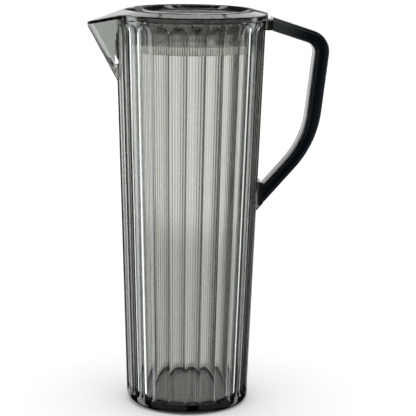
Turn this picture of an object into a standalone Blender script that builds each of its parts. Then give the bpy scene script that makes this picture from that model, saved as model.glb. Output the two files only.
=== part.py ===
"""Fridge jug: fluted clear body with a V spout, strap handle and plug-in lid.

Metres, +Z up. The origin is the centre of the foot on the surface that the jug
stands on. The spout points to -X and the handle to +X.
"""

import math

import bmesh
import bpy
from mathutils import Vector

# Body
RIM_Z = 0.2740             # height of the body rim
RIM_R = 0.0523             # radius over the ridges at the rim
BASE_R = 0.0434            # radius over the ridges just above the foot
FOOT_ROUND = 0.0042        # round between the wall and the standing ring
WALL = 0.0030              # wall thickness at a ridge
FLOOR_TOP = 0.0056         # inside floor above the standing plane
FLOOR_THICK = 0.0048
STAND_WIDTH = 0.0035       # flat standing ring
FLOOR_ROUND = 0.0040       # inside round between wall and floor
RIM_ROUND = 0.0009

# Flutes
FLUTES = 26
FLUTE_DEPTH = 0.0015
FLUTE_TOP_LAND = 0.0019    # plain band between the upper arches and the rim
FLUTE_FOOT_LAND = 0.0068   # plain band between the foot and the lower arches
FLUTE_STEPS = 6            # facets across one flute
ARCH_STEPS = 3             # facets along one arched end

# Spout
SPOUT_REACH = 0.0190       # tip beyond the rim radius
SPOUT_SPREAD = math.radians(9.0)        # where the sides leave the rim, from the spout's axis
SPOUT_DROP = 0.0052        # fall of the rim from the joint to the tip
SPOUT_FOOT = 0.0431        # how far below the rim the front edge meets the body
SPOUT_WALL = 0.0018
SPOUT_EDGE_ROUND = 0.0016
SPOUT_SLOT = 0.0072        # width of the slot through the body wall into the spout

# Handle
HANDLE_WIDTH = 0.0180
NECK_REACH = 0.0037        # neck face beyond the rim radius
LOW_NECK_REACH = 0.0034    # lower neck face beyond the wall radius there
ARM_TOP = 0.0013           # handle top over the rim at the upper root
ARM_ROOT = 0.0096          # height of the upper arm at its root
GRIP_REACH = 0.0454        # outer grip corner beyond the rim radius
GRIP_FALL = 0.0121         # outer grip corner below the rim
BEND_REACH = 0.0372        # outer lower bend beyond the rim radius
BEND_FALL = 0.0872         # outer lower bend below the rim
LOW_ROOT_FALL = 0.1296     # lower edge of the lower root below the rim
LOW_ROOT = 0.0131          # height of the lower root
GRIP_THICK = 0.0100
OUTER_ROUND = 0.0150       # round of the upper outer corner in side view
INNER_ROUND = 0.0075
BEND_ROUND = 0.0720
EDGE_ROUND = 0.0028        # round of the strap's outer long edges
LIP_ROUND = 0.0030         # round of the strap's inner long edges
SHELL_WALL = 0.0024
STRIP_LEDGE = 0.0040       # rounded lip left outside the strip
STRIP_SEAT = 0.0006        # ledge that the strip rests on at each side
STRIP_THICK = 0.0022
TENON_LENGTH = 0.0070

# Lid
LID_HEIGHT = 0.0060        # lid top over the body rim
LID_EDGE_HEIGHT = 0.0040   # upper edge of the rim band over the body rim
CREST_INSET = 0.0095       # sloping border between the edge and the lid's flat top
LID_OVERHANG = 0.0012      # lid edge beyond the rim radius
BEAK_OVERHANG = 0.0004
BEAK_SPREAD = math.radians(25.5)        # where the beak's sides leave the rim, from the spout's axis
BEAK_FALL = 0.0068         # fall of the beak's upper edge from the joint to its tip
BEAK_TIP_ROUND = 0.0024
BEAK_FILLET = 0.0030       # fillet between beak and round edge, in plan
LID_EDGE_ROUND = 0.0008
LID_PLATE = 0.0032
SKIRT_WIDTH = 0.0027       # rim band under the plate
DISH_R = 0.0372
DISH_FLOOR_R = 0.0300
DISH_DEPTH = 0.0020
DISH_OFFSET = 0.0032       # dish centre towards the handle
NOTCH_WIDTH = 0.0127
NOTCH_DEPTH = 0.0015
NOTCH_HEIGHT = 0.0026

# Collar under the lid
COLLAR_DEPTH = 0.0214      # collar's lower edge below the body rim
COLLAR_THICK = 0.0018
COLLAR_CUT = math.radians(9.0)      # half angle of the cut-out at the spout
FLANGE_THICK = 0.0017
KEY_ANGLE = math.radians(11.5)      # key from the front towards the handle
KEY_WIDTH = 0.0035
KEY_DEPTH = 0.0112         # key's rounded lower end below the rim
KEY_STAND = 0.0003         # key beyond the mouth radius at the rim

# Fits
SEAT_GAP = 0.0004          # lid over rim and beak over spout
COLLAR_GAP = 0.0005        # collar to the mouth
JOIN_GAP = 0.0003          # handle to necks and tenons, strip to shell
KEY_GAP = 0.0003

ROUND_STEPS = 96
LID_TOP = RIM_Z + LID_HEIGHT
SPOUT_TIP = RIM_R + SPOUT_REACH         # tip distance from the jug axis
TAPER = (RIM_R - BASE_R) / (RIM_Z - FOOT_ROUND)


def outer_radius(z):
    """Radius over the ridges at a height."""
    return BASE_R + TAPER * (max(z, FOOT_ROUND) - FOOT_ROUND)


def inner_radius(z):
    """Radius of the smooth inside wall at a height."""
    return BASE_R + TAPER * (z - FOOT_ROUND) - WALL


def material(name, colour, roughness):
    """A plain Principled material."""
    mat = bpy.data.materials.new(name)
    mat.use_nodes = True
    shader = mat.node_tree.nodes["Principled BSDF"]
    shader.inputs["Base Color"].default_value = (*colour, 1.0)
    shader.inputs["Roughness"].default_value = roughness
    shader.inputs["Metallic"].default_value = 0.0
    return mat


def new_object(name, verts, faces, mat=None, sharp=30.0):
    """Makes an object from points and faces, welded and facing out."""
    bm = bmesh.new()
    points = [bm.verts.new(v) for v in verts]
    for face in faces:
        ring = []
        for index in face:
            if not ring or (verts[index] != verts[ring[-1]]):
                ring.append(index)
        if len(set(ring)) > 2:
            bm.faces.new([points[i] for i in ring])
    bmesh.ops.remove_doubles(bm, verts=bm.verts, dist=1e-7)
    bmesh.ops.dissolve_degenerate(bm, edges=bm.edges, dist=1e-7)
    loose = [v for v in bm.verts if not v.link_faces]
    bmesh.ops.delete(bm, geom=loose, context="VERTS")
    bmesh.ops.recalc_face_normals(bm, faces=bm.faces)
    mesh = bpy.data.meshes.new(name)
    bm.to_mesh(mesh)
    bm.free()
    mesh.shade_smooth()
    mesh.set_sharp_from_angle(angle=math.radians(sharp))
    obj = bpy.data.objects.new(name, mesh)
    bpy.context.scene.collection.objects.link(obj)
    if mat:
        mesh.materials.append(mat)
    return obj


def as_tool(obj):
    """Marks an object as a construction shape of another."""
    obj.hide_render = True
    obj.display_type = "WIRE"
    return obj


def combine(obj, tool, operation):
    """Joins a construction shape to an object, or cuts it away."""
    mod = obj.modifiers.new(tool.name, "BOOLEAN")
    mod.operation = operation
    mod.solver = "EXACT"
    mod.object = as_tool(tool)
    mod.double_threshold = 1e-7


def loft(rings, cap_first=True, cap_last=True):
    """Faces between equal closed rings of points, with flat caps."""
    count = len(rings[0])
    verts = [tuple(p) for ring in rings for p in ring]
    faces = []
    for row in range(len(rings) - 1):
        for k in range(count):
            a = row * count + k
            b = row * count + (k + 1) % count
            faces.append((a, b, b + count, a + count))
    if cap_first:
        faces.append(tuple(range(count)))
    if cap_last:
        last = (len(rings) - 1) * count
        faces.append(tuple(range(last, last + count)))
    return verts, faces


def turned(name, profile, mat=None, steps=ROUND_STEPS, closed=False):
    """Turns a profile of (radius, height) about Z."""
    rings = []
    for radius, z in profile:
        ring = []
        for k in range(steps):
            angle = 2.0 * math.pi * k / steps
            ring.append((radius * math.cos(angle), radius * math.sin(angle), z))
        rings.append(ring)
    if closed:
        rings.append(rings[0])
        verts, faces = loft(rings, False, False)
    else:
        verts, faces = loft(rings)
    return new_object(name, verts, faces, mat)


def prism(name, outline, low, high, axis):
    """Extrudes a flat outline; axis "y" takes (x, z) points, "z" takes (x, y)."""
    rings = []
    for level in (low, high):
        if axis == "y":
            rings.append([(p[0], level, p[1]) for p in outline])
        else:
            rings.append([(p[0], p[1], level) for p in outline])
    verts, faces = loft(rings)
    return new_object(name, verts, faces)


def fluted_solid(mat):
    """The outside of the body as one solid: foot, flutes with arched ends, rim."""
    pitch = 2.0 * math.pi / FLUTES
    low_crown = FLUTE_FOOT_LAND
    top_crown = RIM_Z - FLUTE_TOP_LAND
    low_rise = 0.5 * pitch * outer_radius(low_crown)
    top_rise = 0.5 * pitch * outer_radius(top_crown)
    low_spring = low_crown + low_rise
    top_spring = top_crown - top_rise
    stand_out = BASE_R - FOOT_ROUND
    stand_in = stand_out - STAND_WIDTH
    under = FLOOR_TOP - FLOOR_THICK

    def column(s):
        """Radius and height down one column; s runs from -1 to 1 across a flute."""
        arch = math.sqrt(max(0.0, 1.0 - s * s))
        rows = [(stand_in - 0.5 * under, under), (stand_in, 0.0)]
        for k in range(6):
            turn = math.radians(-90.0 + 18.0 * k)
            rows.append((stand_out + FOOT_ROUND * math.cos(turn), FOOT_ROUND + FOOT_ROUND * math.sin(turn)))
        rows.append((outer_radius(low_crown), low_crown))
        for k in range(ARCH_STEPS + 1):
            t = (1.0 - k / ARCH_STEPS) * arch
            z = low_spring - t * low_rise
            rows.append((outer_radius(z) - FLUTE_DEPTH * max(0.0, 1.0 - t * t - s * s), z))
        z = 0.5 * (low_spring + top_spring)
        rows.append((outer_radius(z) - FLUTE_DEPTH * (1.0 - s * s), z))
        for k in range(ARCH_STEPS + 1):
            t = k / ARCH_STEPS * arch
            z = top_spring + t * top_rise
            rows.append((outer_radius(z) - FLUTE_DEPTH * max(0.0, 1.0 - t * t - s * s), z))
        rows.append((outer_radius(top_crown), top_crown))
        for k in range(3):
            turn = math.radians(45.0 * k)
            z = RIM_Z - RIM_ROUND + RIM_ROUND * math.sin(turn)
            rows.append((outer_radius(RIM_Z) - RIM_ROUND + RIM_ROUND * math.cos(turn), z))
        return rows

    columns = []
    for flute in range(FLUTES):
        for k in range(FLUTE_STEPS):
            s = -1.0 + 2.0 * k / FLUTE_STEPS
            angle = math.pi + pitch * (flute + 0.5 + 0.5 * s)
            columns.append((angle, column(s)))
    rings = []
    for row in range(len(columns[0][1])):
        ring = []
        for angle, rows in columns:
            radius, z = rows[row]
            ring.append((radius * math.cos(angle), radius * math.sin(angle), z))
        rings.append(ring)
    verts, faces = loft(rings)
    return new_object("jug_body", verts, faces, mat, sharp=14.0)


def inside_cutter():
    """The space inside the body, running out above the rim."""
    floor_edge = inner_radius(FLOOR_TOP + FLOOR_ROUND)
    profile = []
    for k in range(5):
        turn = math.radians(-90.0 + 22.5 * k)
        profile.append((floor_edge - FLOOR_ROUND + FLOOR_ROUND * math.cos(turn),
                        FLOOR_TOP + FLOOR_ROUND + FLOOR_ROUND * math.sin(turn)))
    profile.append((inner_radius(RIM_Z - RIM_ROUND), RIM_Z - RIM_ROUND))
    profile.append((inner_radius(RIM_Z) + 0.3 * RIM_ROUND, RIM_Z - 0.3 * RIM_ROUND))
    profile.append((inner_radius(RIM_Z) + RIM_ROUND, RIM_Z + 0.0001))
    profile.append((inner_radius(RIM_Z) + RIM_ROUND, RIM_Z + 0.01))
    return turned("body_inside", profile)


def spout_joint():
    """Where the spout side meets the round rim: distance along -X and half width."""
    return RIM_R * math.cos(SPOUT_SPREAD), RIM_R * math.sin(SPOUT_SPREAD)


def spout_edge_x(z, flare):
    """Distance from the axis at which the spout's two sides would meet."""
    tip_z = RIM_Z - SPOUT_DROP
    foot_z = RIM_Z - SPOUT_FOOT
    slope = (SPOUT_TIP - outer_radius(foot_z)) / (tip_z - foot_z)
    beyond = SPOUT_EDGE_ROUND * (1.0 / math.sin(flare) - 1.0)
    return SPOUT_TIP + beyond - slope * (tip_z - z)


def spout_flare():
    """Half angle between the spout's sides, from the rim joint to the rounded tip."""
    joint_x, joint_y = spout_joint()
    flare = math.atan2(joint_y, SPOUT_TIP - joint_x)
    for _ in range(12):
        flare = math.atan2(joint_y, spout_edge_x(RIM_Z, flare) - joint_x)
    return flare


def spout_wedge(name, inset, edge_round, low, high):
    """A V prism that leans along the spout's front edge, inset on both sides."""
    back = 0.55 * RIM_R
    flare = spout_flare()
    rings = []
    for z in (low, high):
        apex = spout_edge_x(z, flare) - inset / math.sin(flare)
        centre = apex - edge_round / math.sin(flare)
        spread = (apex - back) * math.tan(flare)
        ring = [(-back, -spread, z)]
        for k in range(5):
            turn = (math.pi / 2.0 - flare) * (k / 2.0 - 1.0)
            ring.append((-centre - edge_round * math.cos(turn), edge_round * math.sin(turn), z))
        ring.append((-back, spread, z))
        rings.append(ring)
    verts, faces = loft(rings)
    return new_object(name, verts, faces)


def spout_rim_fall():
    """Fall per metre of the spout's rim towards the tip."""
    joint_x = spout_joint()[0]
    return SPOUT_DROP / (SPOUT_TIP - joint_x)


def corner_path(points, rounds, steps):
    """A line through corner points with each inner corner rounded."""
    path = [Vector(points[0])]
    for k in range(1, len(points) - 1):
        corner = Vector(points[k])
        into = (corner - Vector(points[k - 1])).normalized()
        out = (Vector(points[k + 1]) - corner).normalized()
        half = 0.5 * into.angle(out)
        start = corner - into * (rounds[k - 1] * math.tan(half))
        side = (out - into).normalized()
        centre = corner + side * (rounds[k - 1] / math.cos(half))
        first = start - centre
        swing = into.angle_signed(out)
        for step in range(steps + 1):
            turn = -swing * step / steps
            path.append(centre + Vector((first.x * math.cos(turn) - first.y * math.sin(turn),
                                         first.x * math.sin(turn) + first.y * math.cos(turn))))
    path.append(Vector(points[-1]))
    return path


def line_cross(a, along_a, b, along_b):
    """Crossing point of two lines in side view."""
    scale = along_a.x * along_b.y - along_a.y * along_b.x
    gap = b - a
    return a + along_a * ((gap.x * along_b.y - gap.y * along_b.x) / scale)


def handle_sides():
    """Outer and inner edge of the strap in side view, as (x, z) corner points."""
    root_x = RIM_R + NECK_REACH + JOIN_GAP
    low_z = RIM_Z - LOW_ROOT_FALL
    low_x = outer_radius(low_z + LOW_ROOT) + LOW_NECK_REACH + JOIN_GAP
    outer = [Vector((root_x, RIM_Z + ARM_TOP)),
             Vector((RIM_R + GRIP_REACH, RIM_Z - GRIP_FALL)),
             Vector((RIM_R + BEND_REACH, RIM_Z - BEND_FALL)),
             Vector((low_x, low_z))]
    grip = (outer[1] - outer[2]).normalized()
    inside = Vector((-grip.y, grip.x)) * GRIP_THICK
    arm = (outer[1] - outer[0]).normalized()
    arm_low = Vector((root_x, RIM_Z + ARM_TOP - ARM_ROOT))
    low_arm = (outer[2] - outer[3]).normalized()
    low_high = Vector((low_x, low_z + LOW_ROOT))
    inner = [arm_low,
             line_cross(arm_low, arm, outer[1] + inside, grip),
             line_cross(low_high, low_arm, outer[1] + inside, grip),
             low_high]
    return outer, inner


def strap_stations():
    """Pairs of inner and outer points along the strap, from upper to lower root."""
    outer, inner = handle_sides()
    steps = 7
    outside = corner_path(outer, (OUTER_ROUND, BEND_ROUND), steps)
    inside = corner_path(inner, (INNER_ROUND, BEND_ROUND - GRIP_THICK), steps)
    return list(zip(inside, outside))


def sweep(name, stations, section, mat=None):
    """Sweeps a section of (depth from the inner edge, width) along the strap."""
    rings = []
    for inside, outside in stations:
        across = outside - inside
        depth = across.length
        across.normalize()
        ring = []
        for u, v in section(depth):
            point = inside + across * u
            ring.append((point.x, v, point.y))
        rings.append(ring)
    verts, faces = loft(rings)
    return new_object(name, verts, faces, mat, sharp=32.0)


def hollow_half():
    """Half width of the strap's hollow."""
    return 0.5 * HANDLE_WIDTH - STRIP_LEDGE - STRIP_SEAT


def shell_section(depth):
    """The strap's channel section, open to the inner side."""
    half = 0.5 * HANDLE_WIDTH
    strip_half = half - STRIP_LEDGE
    strip_seat = STRIP_THICK + JOIN_GAP
    hollow = hollow_half()
    side = [(0.0, strip_half), (0.0, half - LIP_ROUND)]
    for k in range(1, 5):
        turn = math.radians(22.5 * k)
        side.append((LIP_ROUND - LIP_ROUND * math.cos(turn), half - LIP_ROUND + LIP_ROUND * math.sin(turn)))
    for k in range(5):
        turn = math.radians(90.0 - 22.5 * k)
        side.append((depth - EDGE_ROUND + EDGE_ROUND * math.cos(turn), half - EDGE_ROUND + EDGE_ROUND * math.sin(turn)))
    hollow_side = [(depth - SHELL_WALL, hollow), (strip_seat, hollow), (strip_seat, strip_half)]
    outside = side + [(u, -v) for u, v in reversed(side)]
    inside = [(u, -v) for u, v in reversed(hollow_side)] + hollow_side
    return outside + inside


def strip_section(depth):
    """The inner strip's section, with its exposed edges eased."""
    half = 0.5 * HANDLE_WIDTH - STRIP_LEDGE - JOIN_GAP
    ease = 0.0005
    return [(ease, -half), (STRIP_THICK, -half), (STRIP_THICK, half), (ease, half),
            (0.0, half - ease), (0.0, -half + ease)]


def tenon_section(depth):
    """A tenon that fills the strap's hollow with a gap all round."""
    half = hollow_half() - JOIN_GAP
    low = STRIP_THICK + 2.0 * JOIN_GAP
    high = depth - SHELL_WALL - JOIN_GAP
    return [(low, -half), (high, -half), (high, half), (low, half)]


def tenon(name, inside, outside, start_x, end_x):
    """A tenon on the strap's end run, between two distances from the axis."""
    stations = []
    for x in (start_x, end_x):
        pair = []
        for first, second in (inside, outside):
            share = (x - first.x) / (second.x - first.x)
            pair.append(first + (second - first) * share)
        stations.append(tuple(pair))
    return sweep(name, stations, tenon_section)


def add_necks(body):
    """Joins the two necks and their tenons to the body."""
    outer, inner = handle_sides()
    root = outer[0].x - JOIN_GAP
    low_root = outer[3].x - JOIN_GAP
    neck_half = 0.5 * HANDLE_WIDTH - 0.0015
    deep = 0.0060
    upper = [(RIM_R - deep, RIM_Z - 0.0010), (RIM_R - deep, inner[0].y + 0.0004),
             (root, inner[0].y + 0.0004), (root, RIM_Z - 0.0010)]
    slope = (outer[2].y - outer[3].y) / (outer[2].x - outer[3].x)
    wall = outer_radius(outer[3].y) - deep
    lower = [(wall, outer[3].y - slope * (outer[3].x - wall)), (low_root, outer[3].y - slope * JOIN_GAP),
             (low_root, inner[3].y - 0.0002), (low_root - 0.0012, inner[3].y + 0.0014),
             (wall, inner[3].y + 0.0030)]
    for name, outline in (("upper_neck", upper), ("lower_neck", lower)):
        neck = prism(name, outline, -neck_half, neck_half, "y")
        combine(body, neck, "UNION")
    over = 0.0012
    upper_tenon = tenon("upper_tenon", (inner[0], inner[1]), (outer[0], outer[1]), root - over, root + TENON_LENGTH)
    lower_tenon = tenon("lower_tenon", (inner[3], inner[2]), (outer[3], outer[2]), low_root - over,
                        low_root + 0.75 * TENON_LENGTH)
    combine(body, upper_tenon, "UNION")
    combine(body, lower_tenon, "UNION")


def key_shape(name, width, inner, outer, low, high):
    """An upright key with a rounded lower end, standing out along its radius."""
    half = 0.5 * width
    outline = [(half, high), (-half, high)]
    for k in range(7):
        turn = math.radians(180.0 + 30.0 * k)
        outline.append((half * math.cos(turn), low + half + half * math.sin(turn)))
    angle = KEY_ANGLE - math.pi / 2.0
    along = Vector((math.cos(angle), math.sin(angle), 0.0))
    across = Vector((-math.sin(angle), math.cos(angle), 0.0))
    rings = []
    for radius in (inner, outer):
        ring = []
        for offset, z in outline:
            point = along * radius + across * offset
            ring.append((point.x, point.y, z))
        rings.append(ring)
    verts, faces = loft(rings)
    return new_object(name, verts, faces)


def build_body():
    """The body: fluted solid, spout and necks joined, then hollowed."""
    mat = material("smoked clear plastic", (0.36, 0.37, 0.36), 0.06)
    body = fluted_solid(mat)
    outside = spout_wedge("spout_outside", 0.0, SPOUT_EDGE_ROUND, RIM_Z - SPOUT_FOOT - 0.012, RIM_Z + 0.006)
    combine(body, outside, "UNION")
    add_necks(body)
    combine(body, inside_cutter(), "DIFFERENCE")
    channel = spout_wedge("spout_channel", SPOUT_WALL, 0.5 * SPOUT_EDGE_ROUND,
                          RIM_Z - SPOUT_FOOT - 0.010, RIM_Z + 0.012)
    low = RIM_Z - SPOUT_FOOT - 0.012
    high = RIM_Z + 0.014
    round_wall = [(outer_radius(low), low), (outer_radius(high), high)]
    combine(channel, turned("round_wall", round_wall), "DIFFERENCE")
    combine(body, channel, "DIFFERENCE")
    slot_low = RIM_Z - 0.75 * SPOUT_FOOT
    slot_in = inner_radius(slot_low) - 0.004
    slot_out = RIM_R + 0.0004
    half = 0.5 * SPOUT_SLOT
    outline = [(-slot_in, -half), (-slot_out, -half), (-slot_out, half), (-slot_in, half)]
    combine(body, prism("spout_slot", outline, slot_low, RIM_Z + 0.01, "z"), "DIFFERENCE")
    joint_x = spout_joint()[0]
    fall = spout_rim_fall()
    far = SPOUT_TIP + 0.02
    slope = [(-joint_x + 0.02, RIM_Z), (-joint_x, RIM_Z), (-far, RIM_Z - fall * (far - joint_x)),
             (-far, RIM_Z + 0.03), (-joint_x + 0.02, RIM_Z + 0.03)]
    combine(body, prism("spout_rim_cut", slope, -RIM_R, RIM_R, "y"), "DIFFERENCE")
    groove = key_shape("keyway", KEY_WIDTH + 2.0 * KEY_GAP, inner_radius(RIM_Z) - 0.006,
                       inner_radius(RIM_Z) + KEY_STAND + KEY_GAP, RIM_Z - KEY_DEPTH - KEY_GAP, RIM_Z + 0.005)
    combine(body, groove, "DIFFERENCE")
    return body


def build_handle():
    """The strap: channel shell and the strip that closes its inner side."""
    stations = strap_stations()
    shell = sweep("handle_shell", stations, shell_section, material("dark smoked plastic", (0.03, 0.032, 0.036), 0.10))
    strip = sweep("handle_strip", stations, strip_section, material("dark smoked strip", (0.06, 0.062, 0.064), 0.12))
    return shell, strip


def beak_flank():
    """Plan angle of the beak's sides and the distance at which they would meet."""
    flank = math.atan2(RIM_R * math.sin(BEAK_SPREAD), SPOUT_TIP - RIM_R * math.cos(BEAK_SPREAD))
    return flank, SPOUT_TIP + BEAK_OVERHANG + BEAK_TIP_ROUND * (1.0 / math.sin(flank) - 1.0)


def lid_outline(inset):
    """The lid's plan outline, inset evenly: round edge, fillets, beak sides, tip."""
    flank, apex = beak_flank()
    radius = RIM_R + LID_OVERHANG
    along = Vector((math.cos(flank), math.sin(flank)))
    normal = Vector((-math.sin(flank), math.cos(flank)))
    base = Vector((-apex, 0.0)) + normal * BEAK_FILLET
    dot = base.dot(along)
    reach = -dot - math.sqrt(dot * dot - base.dot(base) + (radius + BEAK_FILLET) ** 2)
    fillet = base + along * reach
    fillet_angle = math.atan2(fillet.y, fillet.x)
    tip = -apex + BEAK_TIP_ROUND / math.sin(flank)
    half = []
    steps = 36
    for k in range(steps + 1):
        turn = fillet_angle * k / steps
        half.append(Vector((math.cos(turn), math.sin(turn))) * (radius - inset))
    start = math.atan2(-fillet.y, -fillet.x)
    end = math.atan2(-normal.y, -normal.x)
    for k in range(1, 6):
        turn = start + (end - start) * k / 5
        half.append(fillet + Vector((math.cos(turn), math.sin(turn))) * (BEAK_FILLET + inset))
    tip_start = math.atan2(normal.y, normal.x)
    tip_point = Vector((tip, 0.0)) + Vector((math.cos(tip_start), math.sin(tip_start))) * (BEAK_TIP_ROUND - inset)
    last = half[-1]
    for k in range(1, 4):
        half.append(last + (tip_point - last) * k / 3)
    for k in range(1, 4):
        turn = tip_start + (math.pi - tip_start) * k / 3
        half.append(Vector((tip, 0.0)) + Vector((math.cos(turn), math.sin(turn))) * (BEAK_TIP_ROUND - inset))
    return half + [Vector((p.x, -p.y)) for p in reversed(half[1:-1])]


def build_cover():
    """The lid cover: plate with dish, rim band and beak."""
    edge = lid_outline(0.0)
    joint_x = spout_joint()[0]
    fall = spout_rim_fall()
    beak_x = RIM_R * math.cos(BEAK_SPREAD)
    beak_fall = BEAK_FALL / (SPOUT_TIP - beak_x)

    def low(x):
        return RIM_Z + SEAT_GAP - fall * max(0.0, -joint_x - x)

    def top(x):
        return RIM_Z + LID_EDGE_HEIGHT - beak_fall * max(0.0, -beak_x - x)

    def circle(radius, offset, height):
        ring = []
        for p in edge:
            turn = math.atan2(p.y, p.x)
            point = (radius * math.cos(turn) + offset, radius * math.sin(turn))
            ring.append((*point, height(point[0])))
        return ring

    plate_low = LID_TOP - LID_PLATE
    skirt_in = RIM_R + LID_OVERHANG - SKIRT_WIDTH
    crest_r = max(RIM_R + LID_OVERHANG - CREST_INSET, DISH_R + DISH_OFFSET + 0.0012)
    ease = 0.0005
    rings = [
        circle(DISH_FLOOR_R - ease, DISH_OFFSET, lambda x: plate_low - DISH_DEPTH),
        circle(DISH_R, DISH_OFFSET, lambda x: plate_low),
        circle(skirt_in, 0.0, lambda x: plate_low),
        circle(skirt_in, 0.0, low),
        [(p.x, p.y, low(p.x)) for p in edge],
        [(p.x, p.y, top(p.x) - LID_EDGE_ROUND) for p in edge],
    ]
    for k in (1, 2, 3):
        turn = math.radians(30.0 * k)
        inset = LID_EDGE_ROUND * (1.0 - math.cos(turn))
        ring = []
        for p, at_edge in zip(lid_outline(inset), edge):
            ring.append((p.x, p.y, top(at_edge.x) - LID_EDGE_ROUND * (1.0 - math.sin(turn))))
        rings.append(ring)
    rings.append(circle(crest_r + 0.0015, 0.0, lambda x: LID_TOP - 0.0002))
    rings.append(circle(crest_r, 0.0, lambda x: LID_TOP))
    rings.append(circle(DISH_R + ease, DISH_OFFSET, lambda x: LID_TOP))
    rings.append(circle(DISH_R - ease, DISH_OFFSET, lambda x: LID_TOP - 0.25 * ease))
    rings.append(circle(DISH_FLOOR_R, DISH_OFFSET, lambda x: LID_TOP - DISH_DEPTH))
    verts, faces = loft(rings)
    cover = new_object("lid_cover", verts, faces, material("smoked lid plastic", (0.22, 0.23, 0.23), 0.06))
    outer = RIM_R + LID_OVERHANG
    for name, side in (("front_notch", -1.0), ("back_notch", 1.0)):
        half = 0.5 * NOTCH_WIDTH
        outline = [(-half, RIM_Z - 0.003), (half, RIM_Z - 0.003), (half, RIM_Z + SEAT_GAP + NOTCH_HEIGHT - 0.0008),
                   (half - 0.0008, RIM_Z + SEAT_GAP + NOTCH_HEIGHT),
                   (-half + 0.0008, RIM_Z + SEAT_GAP + NOTCH_HEIGHT),
                   (-half, RIM_Z + SEAT_GAP + NOTCH_HEIGHT - 0.0008)]
        near = side * (outer - NOTCH_DEPTH)
        away = side * (outer + 0.004)
        combine(cover, prism(name, outline, min(near, away), max(near, away), "y"), "DIFFERENCE")
    return cover


def build_collar():
    """The collar: skirt with flange, key rib and the cut-out at the spout."""
    low_z = RIM_Z - COLLAR_DEPTH
    flange_top = LID_TOP - LID_PLATE - JOIN_GAP
    flange_low = flange_top - FLANGE_THICK
    flange_r = RIM_R + LID_OVERHANG - SKIRT_WIDTH - JOIN_GAP
    low_r = inner_radius(low_z) - COLLAR_GAP
    top_r = inner_radius(RIM_Z) - COLLAR_GAP
    ease = 0.0004
    profile = [(flange_r, flange_top), (flange_r, flange_low), (top_r, flange_low), (top_r, RIM_Z),
               (low_r, low_z + ease), (low_r - ease, low_z), (low_r - COLLAR_THICK + ease, low_z),
               (low_r - COLLAR_THICK, low_z + ease), (top_r - COLLAR_THICK, RIM_Z),
               (top_r - COLLAR_THICK - 0.0010, flange_low), (top_r - COLLAR_THICK - 0.0010, flange_top)]
    collar = turned("lid_collar", profile, material("smoked collar plastic", (0.40, 0.41, 0.40), 0.06), closed=True)
    rib = key_shape("key_rib", KEY_WIDTH, top_r - COLLAR_THICK + 0.0008, inner_radius(RIM_Z) + KEY_STAND,
                    RIM_Z - KEY_DEPTH, flange_low + 0.5 * FLANGE_THICK)
    combine(collar, rib, "UNION")
    reach = RIM_R + 0.01
    sector = [(0.0, 0.0)]
    for k in range(9):
        turn = math.pi - COLLAR_CUT + 2.0 * COLLAR_CUT * k / 8
        sector.append((reach * math.cos(turn), reach * math.sin(turn)))
    combine(collar, prism("spout_cut_out", sector, low_z - 0.005, RIM_Z - 0.0012, "z"), "DIFFERENCE")
    return collar


def main():
    """Clears the scene and builds the jug."""
    for obj in list(bpy.data.objects):
        bpy.data.objects.remove(obj, do_unlink=True)
    build_body()
    build_handle()
    lift = bpy.data.objects.new("lid_lift_axis", None)
    lift.location = (0.0, 0.0, RIM_Z)
    bpy.context.scene.collection.objects.link(lift)
    for piece in (build_cover(), build_collar()):
        piece.parent = lift
        piece.matrix_parent_inverse.identity()
        piece.location = (0.0, 0.0, -RIM_Z)


main()
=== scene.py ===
"""Looks of a fridge jug in clear smoked plastic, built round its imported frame.

Metres, in the frame of the solids: the foot stands on z = 0, the spout points to -X
and the handle to +X.
"""

import logging
import math
from dataclasses import dataclass
from enum import Enum
from typing import Any, Callable, Sequence, Union

import bmesh
import bpy
from mathutils import Matrix, Vector

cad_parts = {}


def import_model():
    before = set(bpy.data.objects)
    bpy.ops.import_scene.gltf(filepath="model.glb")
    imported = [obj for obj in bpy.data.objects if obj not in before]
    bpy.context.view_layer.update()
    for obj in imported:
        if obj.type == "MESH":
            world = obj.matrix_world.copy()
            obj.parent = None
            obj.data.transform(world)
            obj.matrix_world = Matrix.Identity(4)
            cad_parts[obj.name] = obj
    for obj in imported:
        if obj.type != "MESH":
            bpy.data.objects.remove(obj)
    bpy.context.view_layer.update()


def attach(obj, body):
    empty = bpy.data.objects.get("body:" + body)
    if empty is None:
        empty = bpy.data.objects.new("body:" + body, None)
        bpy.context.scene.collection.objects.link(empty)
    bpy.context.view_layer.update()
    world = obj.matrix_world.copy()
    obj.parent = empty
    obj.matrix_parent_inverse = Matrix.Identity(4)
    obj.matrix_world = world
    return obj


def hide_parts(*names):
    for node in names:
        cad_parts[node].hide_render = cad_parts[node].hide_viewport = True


LOG = logging.getLogger("fridge_jug")
Thing = bpy.types.Object
Socket = bpy.types.NodeSocket
Point = Sequence[float]
Profile = Union[float, Callable[[float], float]]
Wire = Union[float, Sequence[float], Socket]
Colour = tuple[float, float, float]
Span = tuple[float, float]

RIM_Z = 0.2740  # Height of the body's rim.
RIM_R = 0.0523  # Radius over the ridges at the rim.
ROUND = 256  # Points round a smooth turned shape.
TINY = 1e-6  # Places closer than this count as one.
MERGE = 2e-6  # Points closer than this are merged.
EVERYWHERE = (-1.0, 1.0)  # Range of a zone that has no bounds.
SENSOR = 36.0  # Width of the camera's sensor in millimetres.


class Carrier(Enum):
    """Bodies of the frame that a piece can ride on."""

    JUG = "jug"
    LID = "lid"


class Node(Enum):
    """Solids of the frame that the fine pieces stand for."""

    BODY = "jug_body"
    SHELL = "handle_shell"
    STRIP = "handle_strip"
    COVER = "lid_cover"
    COLLAR = "lid_collar"


class Slot(Enum):
    """Material slots of the record."""

    BODY = "body"
    HANDLE = "handle"
    STRIP = "strip"
    LID = "lid"
    COLLAR = "collar"


class Joining(Enum):
    """Ways in which a tool shape works on a piece."""

    ADD = "UNION"
    CUT = "DIFFERENCE"


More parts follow.
